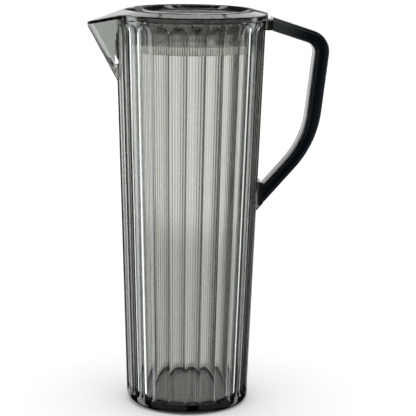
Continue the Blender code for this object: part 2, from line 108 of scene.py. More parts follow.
class Element(Enum):
    """Select modes, with the name of their elements in a mesh."""

    VERT = "verts"
    EDGE = "edges"
    FACE = "faces"


class Bench:
    """Edit-mode work on one mesh at a time."""

    @staticmethod
    def clear() -> None:
        """Leaves edit mode and deselects every object."""
        active = bpy.context.view_layer.objects.active
        if active and active.mode != "OBJECT":
            bpy.ops.object.mode_set(mode="OBJECT")
        bpy.ops.object.select_all(action="DESELECT")

    @staticmethod
    def take(piece: Thing, mode: str = "OBJECT") -> None:
        """Makes a piece the only selected one.

        Args:
            piece: Object to work on.
            mode: Mode in which it is opened.
        """
        Bench.clear()
        bpy.context.view_layer.objects.active = piece
        piece.select_set(True)
        bpy.ops.object.mode_set(mode=mode)

    @staticmethod
    def pick(piece: Thing, kind: Element, wanted: Callable[[Any], bool]) -> None:
        """Selects only the elements of the open mesh that pass a test.

        Args:
            piece: Object that is open in edit mode.
            kind: Whether points, edges or faces are tested.
            wanted: Test of one element.
        """
        bpy.ops.mesh.select_mode(type=kind.name)
        bpy.ops.mesh.select_all(action="DESELECT")
        mesh = bmesh.from_edit_mesh(piece.data)
        for element in getattr(mesh, kind.value):
            if wanted(element):
                element.select_set(True)
        if kind is Element.VERT:
            mesh.select_flush(True)
        bmesh.update_edit_mesh(piece.data, loop_triangles=False, destructive=False)

    @staticmethod
    def draw(piece: Thing, radius: Profile, z: Profile, centre: float = 0.0) -> None:
        """Draws the selected ring of the open mesh to a radius and a height.

        Args:
            piece: Object that is open in edit mode.
            radius: Radius, or a function of the angle.
            z: Height, or a function of the angle.
            centre: Place of the ring's centre along X.
        """
        groups: dict[Span, set[int]] = {}
        for vert in bmesh.from_edit_mesh(piece.data).verts:
            if vert.select:
                angle = math.atan2(vert.co.y, vert.co.x - centre)
                reach = math.hypot(vert.co.x - centre, vert.co.y)
                wide = radius(angle) if callable(radius) else radius
                high = z(angle) if callable(z) else z
                key = (round(wide / reach, 7), round(high - vert.co.z, 7))
                groups.setdefault(key, set()).add(vert.index)
        for (scale, lift), members in groups.items():
            if len(groups) > 1:
                Bench.pick(piece, Element.VERT, lambda vert: vert.index in members)
            bpy.ops.transform.resize(value=(scale, scale, 1.0), center_override=(centre, 0.0, 0.0))
            bpy.ops.transform.translate(value=(0.0, 0.0, lift))
        if len(groups) > 1:
            ring = set().union(*groups.values())
            Bench.pick(piece, Element.VERT, lambda vert: vert.index in ring)

    @staticmethod
    def close(piece: Thing, crease: float) -> Thing:
        """Closes edit mode: doubles merged, faces out, place applied, shading smooth.

        Args:
            piece: Object that is open in edit mode.
            crease: Angle in degrees over which an edge stays crisp.

        Returns:
            The same object.
        """
        bpy.ops.mesh.select_mode(type="VERT")
        bpy.ops.mesh.select_all(action="SELECT")
        bpy.ops.mesh.remove_doubles(threshold=MERGE)
        bpy.ops.mesh.dissolve_degenerate(threshold=MERGE)
        bpy.ops.mesh.select_all(action="SELECT")
        bpy.ops.mesh.normals_make_consistent(inside=False)
        bpy.ops.object.mode_set(mode="OBJECT")
        bpy.ops.object.transform_apply(location=True, rotation=True, scale=True)
        bpy.ops.object.shade_smooth_by_angle(angle=math.radians(crease))
        return piece

    @staticmethod
    def combine(piece: Thing, how: Joining, *tools: Thing) -> None:
        """Joins tool shapes to a piece, or cuts them out, and throws the tools away.

        Args:
            piece: Object that is worked on.
            how: Whether the tools add or cut.
            tools: Closed shapes that are used up, in this order.
        """
        for tool in tools:
            Bench.take(piece)
            step = piece.modifiers.new(tool.name, "BOOLEAN")
            step.operation = how.value
            step.solver = "EXACT"
            step.object = tool
            step.double_threshold = 1e-7
            bpy.ops.object.modifier_apply(modifier=step.name)
            bpy.data.objects.remove(tool, do_unlink=True)

    @staticmethod
    def crisp(piece: Thing, crease: float) -> None:
        """Smooths the shading again after cuts, with edges over an angle kept crisp."""
        Bench.take(piece)
        bpy.ops.object.shade_smooth_by_angle(angle=math.radians(crease))

    @staticmethod
    def circle(name: str, steps: int, radius: float, fill: str = "NGON") -> Thing:
        """A circle to draw into shape, open in edit mode.

        Args:
            name: Object name.
            steps: Points round the circle.
            radius: Its radius.
            fill: How the operator fills it.

        Returns:
            The open object with everything selected.
        """
        Bench.clear()
        bpy.ops.mesh.primitive_circle_add(vertices=steps, radius=radius, fill_type=fill)
        piece = bpy.context.object
        piece.name = name
        bpy.ops.object.mode_set(mode="EDIT")
        bpy.ops.mesh.select_mode(type="VERT")
        bpy.ops.mesh.select_all(action="SELECT")
        return piece

    @staticmethod
    def extrude(run: Point) -> None:
        """Draws the selected faces out along a straight run."""
        bpy.ops.mesh.extrude_region_move(TRANSFORM_OT_translate={"value": tuple(run)})

    @staticmethod
    def plate(name: str, corners: Sequence[Point]) -> Thing:
        """A flat face with its corners drawn to their places, left open in edit mode.

        Args:
            name: Object name.
            corners: Places of the corners, in order round the face.

        Returns:
            The open object with its face selected.
        """
        piece = Bench.circle(name, len(corners), 0.01)
        for number, corner in enumerate(corners):
            Bench.pick(piece, Element.VERT, lambda vert: vert.index == number)
            mesh = bmesh.from_edit_mesh(piece.data)
            mesh.verts.ensure_lookup_table()
            bpy.ops.transform.translate(value=Vector(corner) - mesh.verts[number].co)
        bpy.ops.mesh.select_all(action="SELECT")
        return piece

    @staticmethod
    def prism(name: str, corners: Sequence[Point], run: Point, crease: float = 30.0) -> Thing:
        """A flat face drawn out along a straight run.

        Args:
            name: Object name.
            corners: Places of the first face's corners.
            run: Vector along which the face is extruded.
            crease: Angle in degrees over which an edge stays crisp.

        Returns:
            The closed object.
        """
        piece = Bench.plate(name, corners)
        Bench.extrude(run)
        return Bench.close(piece, crease)

    @staticmethod
    def bar(name: str, outline: Sequence[Point], half: float) -> Thing:
        """A prism across the jug with an (x, z) outline, half its width on either side."""
        return Bench.prism(name, [(x, -half, z) for x, z in outline], (0.0, 2.0 * half, 0.0))


class Lathe:
    """A mesh that grows ring by ring from a circle, as on a turning lathe."""

    def __init__(self, name: str, steps: int, radius: Profile, z: Profile,
                 fill: str = "NGON", centre: float = 0.0) -> None:
        """Starts with one circle.

        Args:
            name: Object name.
            steps: Points round the circle.
            radius: First radius, or a function of the angle.
            z: First height, or a function of the angle.
            fill: How the operator fills the first circle.
            centre: Place of the circle's centre along X.
        """
        self.piece = Bench.circle(name, steps, 0.05, fill)
        self.steps = steps
        self.centre = 0.0
        self.draw(radius, z, centre)

    def draw(self, radius: Profile, z: Profile, centre: float) -> None:
        """Draws the selected ring to its radius, height and centre.

        Args:
            radius: Radius, or a function of the angle.
            z: Height, or a function of the angle.
            centre: Place of the ring's centre along X.
        """
        if centre != self.centre:
            bpy.ops.transform.translate(value=(centre - self.centre, 0.0, 0.0))
            self.centre = centre
        Bench.draw(self.piece, radius, z, centre)

    def rings(self, places: Sequence[tuple[Profile, Profile]], centre: float = 0.0) -> None:
        """Extrudes the open edge into new rings, one by one.

        Args:
            places: Radius and height of each ring, or functions of the angle.
            centre: Place of the rings' centre along X.
        """
        for radius, z in places:
            bpy.ops.mesh.extrude_edges_move(TRANSFORM_OT_translate={"value": (0.0, 0.0, 0.0)})
            self.draw(radius, z, centre)

    def quarter(self, radius: float, z: float, size: float, start: float, count: int) -> None:
        """Turns a quarter round.

        Args:
            radius: Distance of the round's centre from the axis.
            z: Height of the round's centre.
            size: Radius of the round.
            start: Angle in degrees at which it starts.
            count: Facets of the round.
        """
        turns = [math.radians(start + 90.0 * k / count) for k in range(count + 1)]
        self.rings([(radius + size * math.cos(turn), z + size * math.sin(turn)) for turn in turns])

    def cap(self, crease: float) -> Thing:
        """Fills the last ring and closes the mesh, with edges over an angle kept crisp."""
        bpy.ops.mesh.edge_face_add()
        return Bench.close(self.piece, crease)

    def loop(self, crease: float) -> Thing:
        """Bridges the last ring to the first and closes the mesh.

        Args:
            crease: Angle in degrees over which an edge stays crisp.

        Returns:
            The closed object.
        """
        mesh = bmesh.from_edit_mesh(self.piece.data)
        ends = {vert.index for vert in mesh.verts if vert.select} | set(range(self.steps))
        Bench.pick(self.piece, Element.VERT, lambda vert: vert.index in ends)
        bpy.ops.mesh.bridge_edge_loops()
        return Bench.close(self.piece, crease)


def on_rim(spread: float) -> Span:
    """Distance along -X and half width of the rim at an angle from the spout's axis."""
    return RIM_R * math.cos(spread), RIM_R * math.sin(spread)


@dataclass
class Spout:
    """The V spout: two flat sides that meet in a leaning front edge.

    Attributes:
        foot_r: Radius over the ridges where the front edge ends.
        reach: Tip beyond the rim radius.
        spread: Angle from the spout's axis at which the sides leave the rim.
        drop: Fall of the rim from the joint to the tip.
        foot: How far below the rim the front edge meets the body.
        wall: Thickness of the sides.
        edge_round: Round of the front edge.
        slot: Width of the slot through the body wall.
        slot_share: Share of the front edge's height that the slot takes.
        back: Place of the wedges' back as a share of the rim radius.
    """

    foot_r: float = 0.05088
    reach: float = 0.0190
    spread: float = math.radians(9.0)
    drop: float = 0.0052
    foot: float = 0.0431
    wall: float = 0.0018
    edge_round: float = 0.0016
    slot: float = 0.0072
    slot_share: float = 0.75
    back: float = 0.55

    @property
    def tip(self) -> float:
        """Distance of the tip from the jug's axis."""
        return RIM_R + self.reach

    def edge(self, z: float, flare: float) -> float:
        """Distance from the axis at which the sides would meet.

        Args:
            z: Height.
            flare: Half angle between the sides.

        Returns:
            Distance along -X.
        """
        tip_z = RIM_Z - self.drop
        foot_z = RIM_Z - self.foot
        slope = (self.tip - self.foot_r) / (tip_z - foot_z)
        return self.tip + self.edge_round * (1.0 / math.sin(flare) - 1.0) - slope * (tip_z - z)

    def flare(self) -> float:
        """Half angle between the sides, found step by step.

        Returns:
            The angle in radians.
        """
        joint_x, joint_y = on_rim(self.spread)
        flare = math.atan2(joint_y, self.tip - joint_x)
        for _ in range(12):
            flare = math.atan2(joint_y, self.edge(RIM_Z, flare) - joint_x)
        return flare

    def fall(self) -> float:
        """Fall per metre of the spout's rim towards the tip."""
        return self.drop / (self.tip - on_rim(self.spread)[0])

    def opening(self, inner: Callable[[float], float]) -> Thing:
        """The slot that leads through the body wall into the spout.

        Args:
            inner: Radius of the body's inside wall at a height.

        Returns:
            The closed object.
        """
        low = RIM_Z - self.slot_share * self.foot
        near = inner(low) - 0.004
        far = RIM_R + 0.0004
        half = 0.5 * self.slot
        corners = [(-near, -half, low), (-far, -half, low), (-far, half, low), (-near, half, low)]
        return Bench.prism("spout_slot", corners, (0.0, 0.0, RIM_Z + 0.01 - low))

    def wedge(self, name: str, inset: float, edge_round: float, low: float, high: float) -> Thing:
        """A V prism that leans along the front edge.

        Args:
            name: Object name.
            inset: How far both sides are moved in.
            edge_round: Round of its front edge.
            low: Height of its lower end.
            high: Height of its upper end.

        Returns:
            The closed object.
        """
        flare = self.flare()
        back = self.back * RIM_R
        first, last = (self.edge(z, flare) - inset / math.sin(flare) for z in (low, high))
        half = (first - back) * math.tan(flare)
        piece = Bench.plate(name, [(-back, -half, low), (-first, 0.0, low), (-back, half, low)])
        Bench.extrude((0.0, 0.0, high - low))
        scale = (last - back) / (first - back)
        bpy.ops.transform.resize(value=(scale, scale, 1.0), center_override=(-back, 0.0, high))
        Bench.pick(piece, Element.VERT, lambda vert: abs(vert.co.y) < TINY)
        bpy.ops.mesh.bevel(offset=edge_round / math.tan(flare), segments=8, affect="EDGES")
        return Bench.close(piece, 25.0)


@dataclass
class Key:
    """The small upright key that sets the lid, and its keyway.

    Attributes:
        angle: Place round the rim, from the front towards the handle.
        width: Width of the rib.
        depth: How far it reaches below the rim.
        stand: How far it stands into the wall.
        gap: Gap round the rib in its keyway.
        steps: Facets of its rounded lower end.
    """

    angle: float = math.radians(11.5)
    width: float = 0.0035
    depth: float = 0.0112
    stand: float = 0.0003
    gap: float = 0.0003
    steps: int = 12

    def shape(self, name: str, ease: float, inner: float, outer: float, high: float) -> Thing:
        """An upright block with a rounded lower end that runs out along its radius.

        Args:
            name: Object name.
            ease: How much it is larger than the rib all round.
            inner: Radius of its inner face.
            outer: Radius of its outer face.
            high: Height of its upper end.

        Returns:
            The closed object.
        """
        half = 0.5 * self.width + ease
        low = RIM_Z - self.depth - ease
        outline = [(half, high), (-half, high)]
        for k in range(self.steps + 1):
            turn = math.radians(180.0 + 180.0 * k / self.steps)
            outline.append((half * math.cos(turn), low + half + half * math.sin(turn)))
        turn = self.angle - math.pi / 2.0
        along = Vector((math.cos(turn), math.sin(turn), 0.0))
        across = Vector((-math.sin(turn), math.cos(turn), 0.0))
        corners = [along * inner + across * x + Vector((0.0, 0.0, z)) for x, z in outline]
        return Bench.prism(name, corners, along * (outer - inner))


@dataclass
class Strap:
    """The strap handle: a channel shell, the strip that closes it, and the body's necks.

    Attributes:
        root_x: Face of the upper root.
        low_x: Face of the lower root.
        width: Width of the strap.
        arm_top: Handle top over the rim at the upper root.
        arm_root: Height of the upper arm at its root.
        grip: Outer grip corner, beyond the rim radius and below the rim.
        bend: Outer lower bend, beyond the rim radius and below the rim.
        low_fall: Lower edge of the lower root below the rim.
        low_root: Height of the lower root.
        thick: Thickness of the grip.
        outer_rounds: Rounds of the outer corners in side view.
        inner_rounds: Rounds of the inner corners in side view.
        edge_round: Round of the outer long edges.
        lip_round: Round of the inner long edges.
        strip_round: Round of the strip's long edges.
        shell_wall: Wall of the channel.
        ledge: Rounded lip left outside the strip.
        seat: Ledge that the strip rests on at each side.
        strip_thick: Thickness of the strip.
        tenon: Length of the upper tenon.
        sunk: How far the necks start inside the body's wall.
        lap: How far the tenons start inside their necks.
        gap: Gap between joined pieces.
        steps: Facets of one rounded corner.
        crease: Angle in degrees over which an edge stays crisp.
    """

    root_x: float = 0.0563
    low_x: float = 0.05216
    width: float = 0.0180
    arm_top: float = 0.0013
    arm_root: float = 0.0096
    grip: Span = (0.0454, 0.0121)
    bend: Span = (0.0372, 0.0872)
    low_fall: float = 0.1296
    low_root: float = 0.0131
    thick: float = 0.0100
    outer_rounds: Span = (0.0150, 0.0720)
    inner_rounds: Span = (0.0075, 0.0620)
    edge_round: float = 0.0028
    lip_round: float = 0.0030
    strip_round: float = 0.0005
    shell_wall: float = 0.0024
    ledge: float = 0.0040
    seat: float = 0.0006
    strip_thick: float = 0.0022
    tenon: float = 0.0070
    sunk: float = 0.0060
    lap: float = 0.0012
    gap: float = 0.0003
    steps: int = 20
    crease: float = 32.0

    @staticmethod
    def cross(a: Vector, along_a: Vector, b: Vector, along_b: Vector) -> Vector:
        """Crossing point of two lines in side view.

        Args:
            a: Point of the first line.
            along_a: Direction of the first line.
            b: Point of the second line.
            along_b: Direction of the second line.

        Returns:
            The point on both lines.
        """
        scale = along_a.x * along_b.y - along_a.y * along_b.x
        away = b - a
        return a + along_a * ((away.x * along_b.y - away.y * along_b.x) / scale)

    def sides(self) -> tuple[list[Vector], list[Vector]]:
        """Works out the strap's corners in side view.

        Returns:
            Corner points (x, z) of the outer and of the inner edge.
        """
        low_z = RIM_Z - self.low_fall
        outer = [Vector((self.root_x, RIM_Z + self.arm_top)),
                 Vector((RIM_R + self.grip[0], RIM_Z - self.grip[1])),
                 Vector((RIM_R + self.bend[0], RIM_Z - self.bend[1])),
                 Vector((self.low_x, low_z))]
        grip = (outer[1] - outer[2]).normalized()
        inside = outer[1] + Vector((-grip.y, grip.x)) * self.thick
        arm_low = Vector((self.root_x, RIM_Z + self.arm_top - self.arm_root))
        low_high = Vector((self.low_x, low_z + self.low_root))
        inner = [arm_low,
                 self.cross(arm_low, outer[1] - outer[0], inside, grip),
                 self.cross(low_high, outer[2] - outer[3], inside, grip),
                 low_high]
        return outer, inner

    def rounded(self, points: Sequence[Vector], rounds: Sequence[float]) -> list[Vector]:
        """A line through corner points with each inner corner rounded.

        Args:
            points: Corner points in side view.
            rounds: Radius at each inner corner.

        Returns:
            Points along the line.
        """
        path = [points[0]]
        for before, corner, after, radius in zip(points, points[1:], points[2:], rounds):
            into = (corner - before).normalized()
            out = (after - corner).normalized()
            half = 0.5 * into.angle(out)
            centre = corner + (out - into).normalized() * (radius / math.cos(half))
            first = corner - into * (radius * math.tan(half)) - centre
            swing = into.angle_signed(out)
            for step in range(self.steps + 1):
                turn = -swing * step / self.steps
                cos, sin = math.cos(turn), math.sin(turn)
                path.append(centre + Vector((first.x * cos - first.y * sin,
                                             first.x * sin + first.y * cos)))
        return path + [points[-1]]

    def stations(self) -> list[tuple[Vector, Vector]]:
        """Pairs of inner and outer points along the strap, from the upper to the lower root."""
        outer, inner = self.sides()
        return list(zip(self.rounded(inner, self.inner_rounds),
                        self.rounded(outer, self.outer_rounds)))

    def slab(self, name: str, low: float, high: float, half: float) -> Thing:
        """A slab that follows the strap, left open in edit mode.

        Args:
            name: Object name.
            low: Depth of its inner side from the strap's inner edge.
            high: Depth of its outer side from the inner edge if positive, or else its place
                from the outer edge.
            half: Half its width.

        Returns:
            The open object.
        """
        near, far = [], []
        for inside, outside in self.stations():
            across = (outside - inside).normalized()
            near.append(inside + across * low)
            far.append((inside if high > 0.0 else outside) + across * high)
        piece = Bench.plate(name, [(p.x, -half, p.y) for p in near + far[::-1]])
        Bench.extrude((0.0, 2.0 * half, 0.0))
        return piece

    def long_edges(self, piece: Thing, radius: float, outer: bool) -> None:
        """Rounds the two long edges on one side of the open strap.

        Args:
            piece: Object that is open in edit mode.
            radius: Radius of the round.
            outer: Whether the outer edges are rounded, or else the inner ones.
        """
        pairs = [pair[1 if outer else 0] for pair in self.stations()]
        path = {(round(p.x, 6), round(p.y, 6)) for p in pairs}

        def along(edge: bmesh.types.BMEdge) -> bool:
            """Whether an edge lies along the chosen side."""
            ends = [vert.co for vert in edge.verts]
            level = abs(ends[0].y - ends[1].y) < TINY
            return level and all((round(p.x, 6), round(p.z, 6)) in path for p in ends)

        Bench.pick(piece, Element.EDGE, along)
        bpy.ops.mesh.bevel(offset=radius, segments=6, affect="EDGES", clamp_overlap=False)
        bpy.ops.mesh.select_mode(type="VERT")

    @property
    def hollow(self) -> float:
        """Half width of the strap's hollow."""
        return 0.5 * self.width - self.ledge - self.seat

    def shell(self) -> Thing:
        """The channel shell: a rounded slab, hollowed and seated for the strip.

        Returns:
            The finished piece.
        """
        half = 0.5 * self.width
        piece = self.slab("strap_shell", 0.0, 0.0, half)
        self.long_edges(piece, self.edge_round, True)
        self.long_edges(piece, self.lip_round, False)
        Bench.close(piece, self.crease)
        seat = self.strip_thick + self.gap
        for name, low, high, wide in (("hollow", seat - self.gap, -self.shell_wall, self.hollow),
                                      ("seat", -0.002, seat, half - self.ledge)):
            tool = Bench.close(self.slab(name, low, high, wide), self.crease)
            Bench.combine(piece, Joining.CUT, tool)
        Bench.crisp(piece, self.crease)
        return piece

    def strip(self) -> Thing:
        """The strip that closes the channel on the finger side.

        Returns:
            The finished piece.
        """
        half = 0.5 * self.width - self.ledge - self.gap
        piece = self.slab("strap_strip", 0.0, self.strip_thick, half)
        self.long_edges(piece, self.strip_round, False)
        return Bench.close(piece, self.crease)

    def peg(self, name: str, run: int, start: float, length: float) -> Thing:
        """A tenon that fills the channel's end with a gap all round.

        Args:
            name: Object name.
            run: Number of the end run, 0 for the upper one and 2 for the lower one.
            start: Where its neck ends along X.
            length: How far it stands out of its neck.

        Returns:
            The closed object.
        """
        pairs = []
        for x in (start - self.lap, start + length):
            pair = []
            for path in self.sides():
                share = (x - path[run].x) / (path[run + 1].x - path[run].x)
                pair.append(path[run] + (path[run + 1] - path[run]) * share)
            across = (pair[0] - pair[1]).normalized()
            pairs.append((pair[1] + across * (self.strip_thick + 2.0 * self.gap),
                          pair[0] - across * (self.shell_wall + self.gap)))
        outline = [pairs[0][0], pairs[1][0], pairs[1][1], pairs[0][1]]
        return Bench.bar(name, outline, self.hollow - self.gap)

    def necks(self, wall: Callable[[float], float]) -> list[Thing]:
        """The body's two necks and their tenons.

        Args:
            wall: Radius of the body's wall at a height.

        Returns:
            Closed shapes to join to the body.
        """
        outer, inner = self.sides()
        root = self.root_x - self.gap
        low_root = self.low_x - self.gap
        half = 0.5 * self.width - 0.0015
        deep = RIM_R - self.sunk
        top, under = RIM_Z - 0.0010, inner[0].y + 0.0004
        upper = [(deep, top), (deep, under), (root, under), (root, top)]
        slope = (outer[2].y - outer[3].y) / (outer[2].x - outer[3].x)
        deep = wall(outer[3].y) - self.sunk
        lower = [(deep, outer[3].y - slope * (outer[3].x - deep)),
                 (low_root, outer[3].y - slope * self.gap),
                 (low_root, inner[3].y - 0.0002), (low_root - 0.0012, inner[3].y + 0.0014),
                 (deep, inner[3].y + 0.0030)]
        return [Bench.bar("upper_neck", upper, half), Bench.bar("lower_neck", lower, half),
                self.peg("upper_tenon", 0, root, self.tenon),
                self.peg("lower_tenon", 2, low_root, 0.75 * self.tenon)]


@dataclass
class JugBody:
    """The fluted body with its spout, foot, handle necks and keyway.

    Attributes:
        base_r: Radius over the ridges just above the foot.
        foot_round: Round between the wall and the standing ring.
        wall: Wall thickness at a ridge.
        floor_top: Inside floor above the standing plane.
        floor_thick: Thickness of the floor.
        stand_width: Width of the flat standing ring.
        floor_round: Inside round between wall and floor.
        rim_round: Round of the rim.
        flutes: Number of flutes.
        flute_depth: Depth of a flute.
        top_land: Plain band between the upper arches and the rim.
        foot_land: Plain band between the foot and the lower arches.
        flute_steps: Facets across one flute.
        arch_steps: Rings along one arched end.
        crease: Angle in degrees over which an edge stays crisp.
    """

    base_r: float = 0.0434
    foot_round: float = 0.0042
    wall: float = 0.0030
    floor_top: float = 0.0056
    floor_thick: float = 0.0048
    stand_width: float = 0.0035
    floor_round: float = 0.0040
    rim_round: float = 0.0009
    flutes: int = 26
    flute_depth: float = 0.0015
    top_land: float = 0.0019
    foot_land: float = 0.0068
    flute_steps: int = 16
    arch_steps: int = 6
    crease: float = 15.0

    @property
    def taper(self) -> float:
        """Growth of the radius per metre of height."""
        return (RIM_R - self.base_r) / (RIM_Z - self.foot_round)

    @property
    def pitch(self) -> float:
        """Angle that one flute takes."""
        return 2.0 * math.pi / self.flutes

    def outer(self, z: float) -> float:
        """Radius over the ridges at a height."""
        return self.base_r + self.taper * (max(z, self.foot_round) - self.foot_round)

    def inner(self, z: float) -> float:
        """Radius of the smooth inside wall at a height."""
        return self.base_r + self.taper * (z - self.foot_round) - self.wall

    def across(self, angle: float) -> float:
        """Place across a flute, from -1 at one ridge over 0 to 1 at the next."""
        turn = (angle - math.pi) / self.pitch + 0.5
        return 2.0 * (turn - round(turn))

    def arch_ring(self, spring: float, rise: float, share: float) -> tuple[Profile, Profile]:
        """One ring of the flutes' arched ends.

        Args:
            spring: Height at which the straight flute ends.
            rise: Height of the arch, negative downwards.
            share: Place of the ring on the arch, 0 at the spring to 1 at the crown.

        Returns:
            The ring's radius and height as functions of the angle.
        """

        def step(angle: float) -> float:
            """Place along the arch at an angle."""
            return share * math.sqrt(max(0.0, 1.0 - self.across(angle) ** 2))

        def height(angle: float) -> float:
            """Height of the ring at an angle."""
            return spring + rise * step(angle)

        def radius(angle: float) -> float:
            """Radius of the ring at an angle."""
            depth = max(0.0, 1.0 - step(angle) ** 2 - self.across(angle) ** 2)
            return self.outer(height(angle)) - self.flute_depth * depth

        return radius, height

    def outside(self) -> Thing:
        """The outside as one solid: foot, flutes with arched ends and rim.

        Returns:
            The closed object.
        """
        under = self.floor_top - self.floor_thick
        stand_out = self.base_r - self.foot_round
        stand_in = stand_out - self.stand_width
        low = self.foot_land
        high = RIM_Z - self.top_land
        low_rise = 0.5 * self.pitch * self.outer(low)
        high_rise = 0.5 * self.pitch * self.outer(high)
        shares = [k / self.arch_steps for k in range(self.arch_steps + 1)]
        steps = self.flutes * self.flute_steps
        lathe = Lathe("smoked_body", steps, stand_in - 0.5 * under, under)
        lathe.rings([(stand_in, 0.0)])
        lathe.quarter(stand_out, self.foot_round, self.foot_round, -90.0, 9)
        lathe.rings([(self.outer(low), low)])
        lathe.rings([self.arch_ring(low + low_rise, -low_rise, 1.0 - share) for share in shares])
        lathe.rings([self.arch_ring(high - high_rise, high_rise, share) for share in shares])
        lathe.rings([(self.outer(high), high)])
        edge = self.rim_round
        lathe.quarter(self.outer(RIM_Z) - edge, RIM_Z - edge, edge, 0.0, 4)
        return lathe.cap(self.crease)

    def inside(self) -> Thing:
        """The space inside, running out above the rim.

        Returns:
            The closed object.
        """
        size = self.floor_round
        edge = self.inner(self.floor_top + size)
        lathe = Lathe("inside", ROUND, 0.5 * edge, self.floor_top)
        lathe.quarter(edge - size, self.floor_top + size, size, -90.0, 8)
        top, ease = self.inner(RIM_Z), self.rim_round
        lathe.rings([(self.inner(RIM_Z - ease), RIM_Z - ease),
                     (top + 0.3 * ease, RIM_Z - 0.3 * ease),
                     (top + ease, RIM_Z + 0.0001), (top + ease, RIM_Z + 0.01)])
        return lathe.cap(30.0)

    def build(self) -> Thing:
        """Builds the body: outside, spout and necks joined, then hollowed and cut.

        Returns:
            The finished piece.
        """
        spout = Spout()
        body = self.outside()
        foot = RIM_Z - spout.foot
        low, high = foot - 0.012, RIM_Z + 0.014
        front = spout.wedge("spout_outside", 0.0, spout.edge_round, low, RIM_Z + 0.006)
        Bench.combine(body, Joining.ADD, front, *Strap().necks(self.outer))
        channel = spout.wedge("spout_channel", spout.wall, 0.5 * spout.edge_round,
                              foot - 0.010, RIM_Z + 0.012)
        wall = Lathe("round_wall", ROUND, self.outer(low), low)
        wall.rings([(self.outer(high), high)])
        Bench.combine(channel, Joining.CUT, wall.cap(30.0))
        joint = on_rim(spout.spread)[0]
        near, far, top = -joint + 0.02, spout.tip + 0.02, RIM_Z + 0.03
        tip_z = RIM_Z - spout.fall() * (far - joint)
        rim = [(near, RIM_Z), (-joint, RIM_Z), (-far, tip_z), (-far, top), (near, top)]
        mouth = self.inner(RIM_Z)
        keyway = Key().shape("keyway", Key.gap, mouth - 0.006, mouth + Key.stand + Key.gap,
                             RIM_Z + 0.005)
        Bench.combine(body, Joining.CUT, self.inside(), channel, spout.opening(self.inner),
                      Bench.bar("spout_rim", rim, RIM_R), keyway)
        Bench.crisp(body, self.crease)
        return body


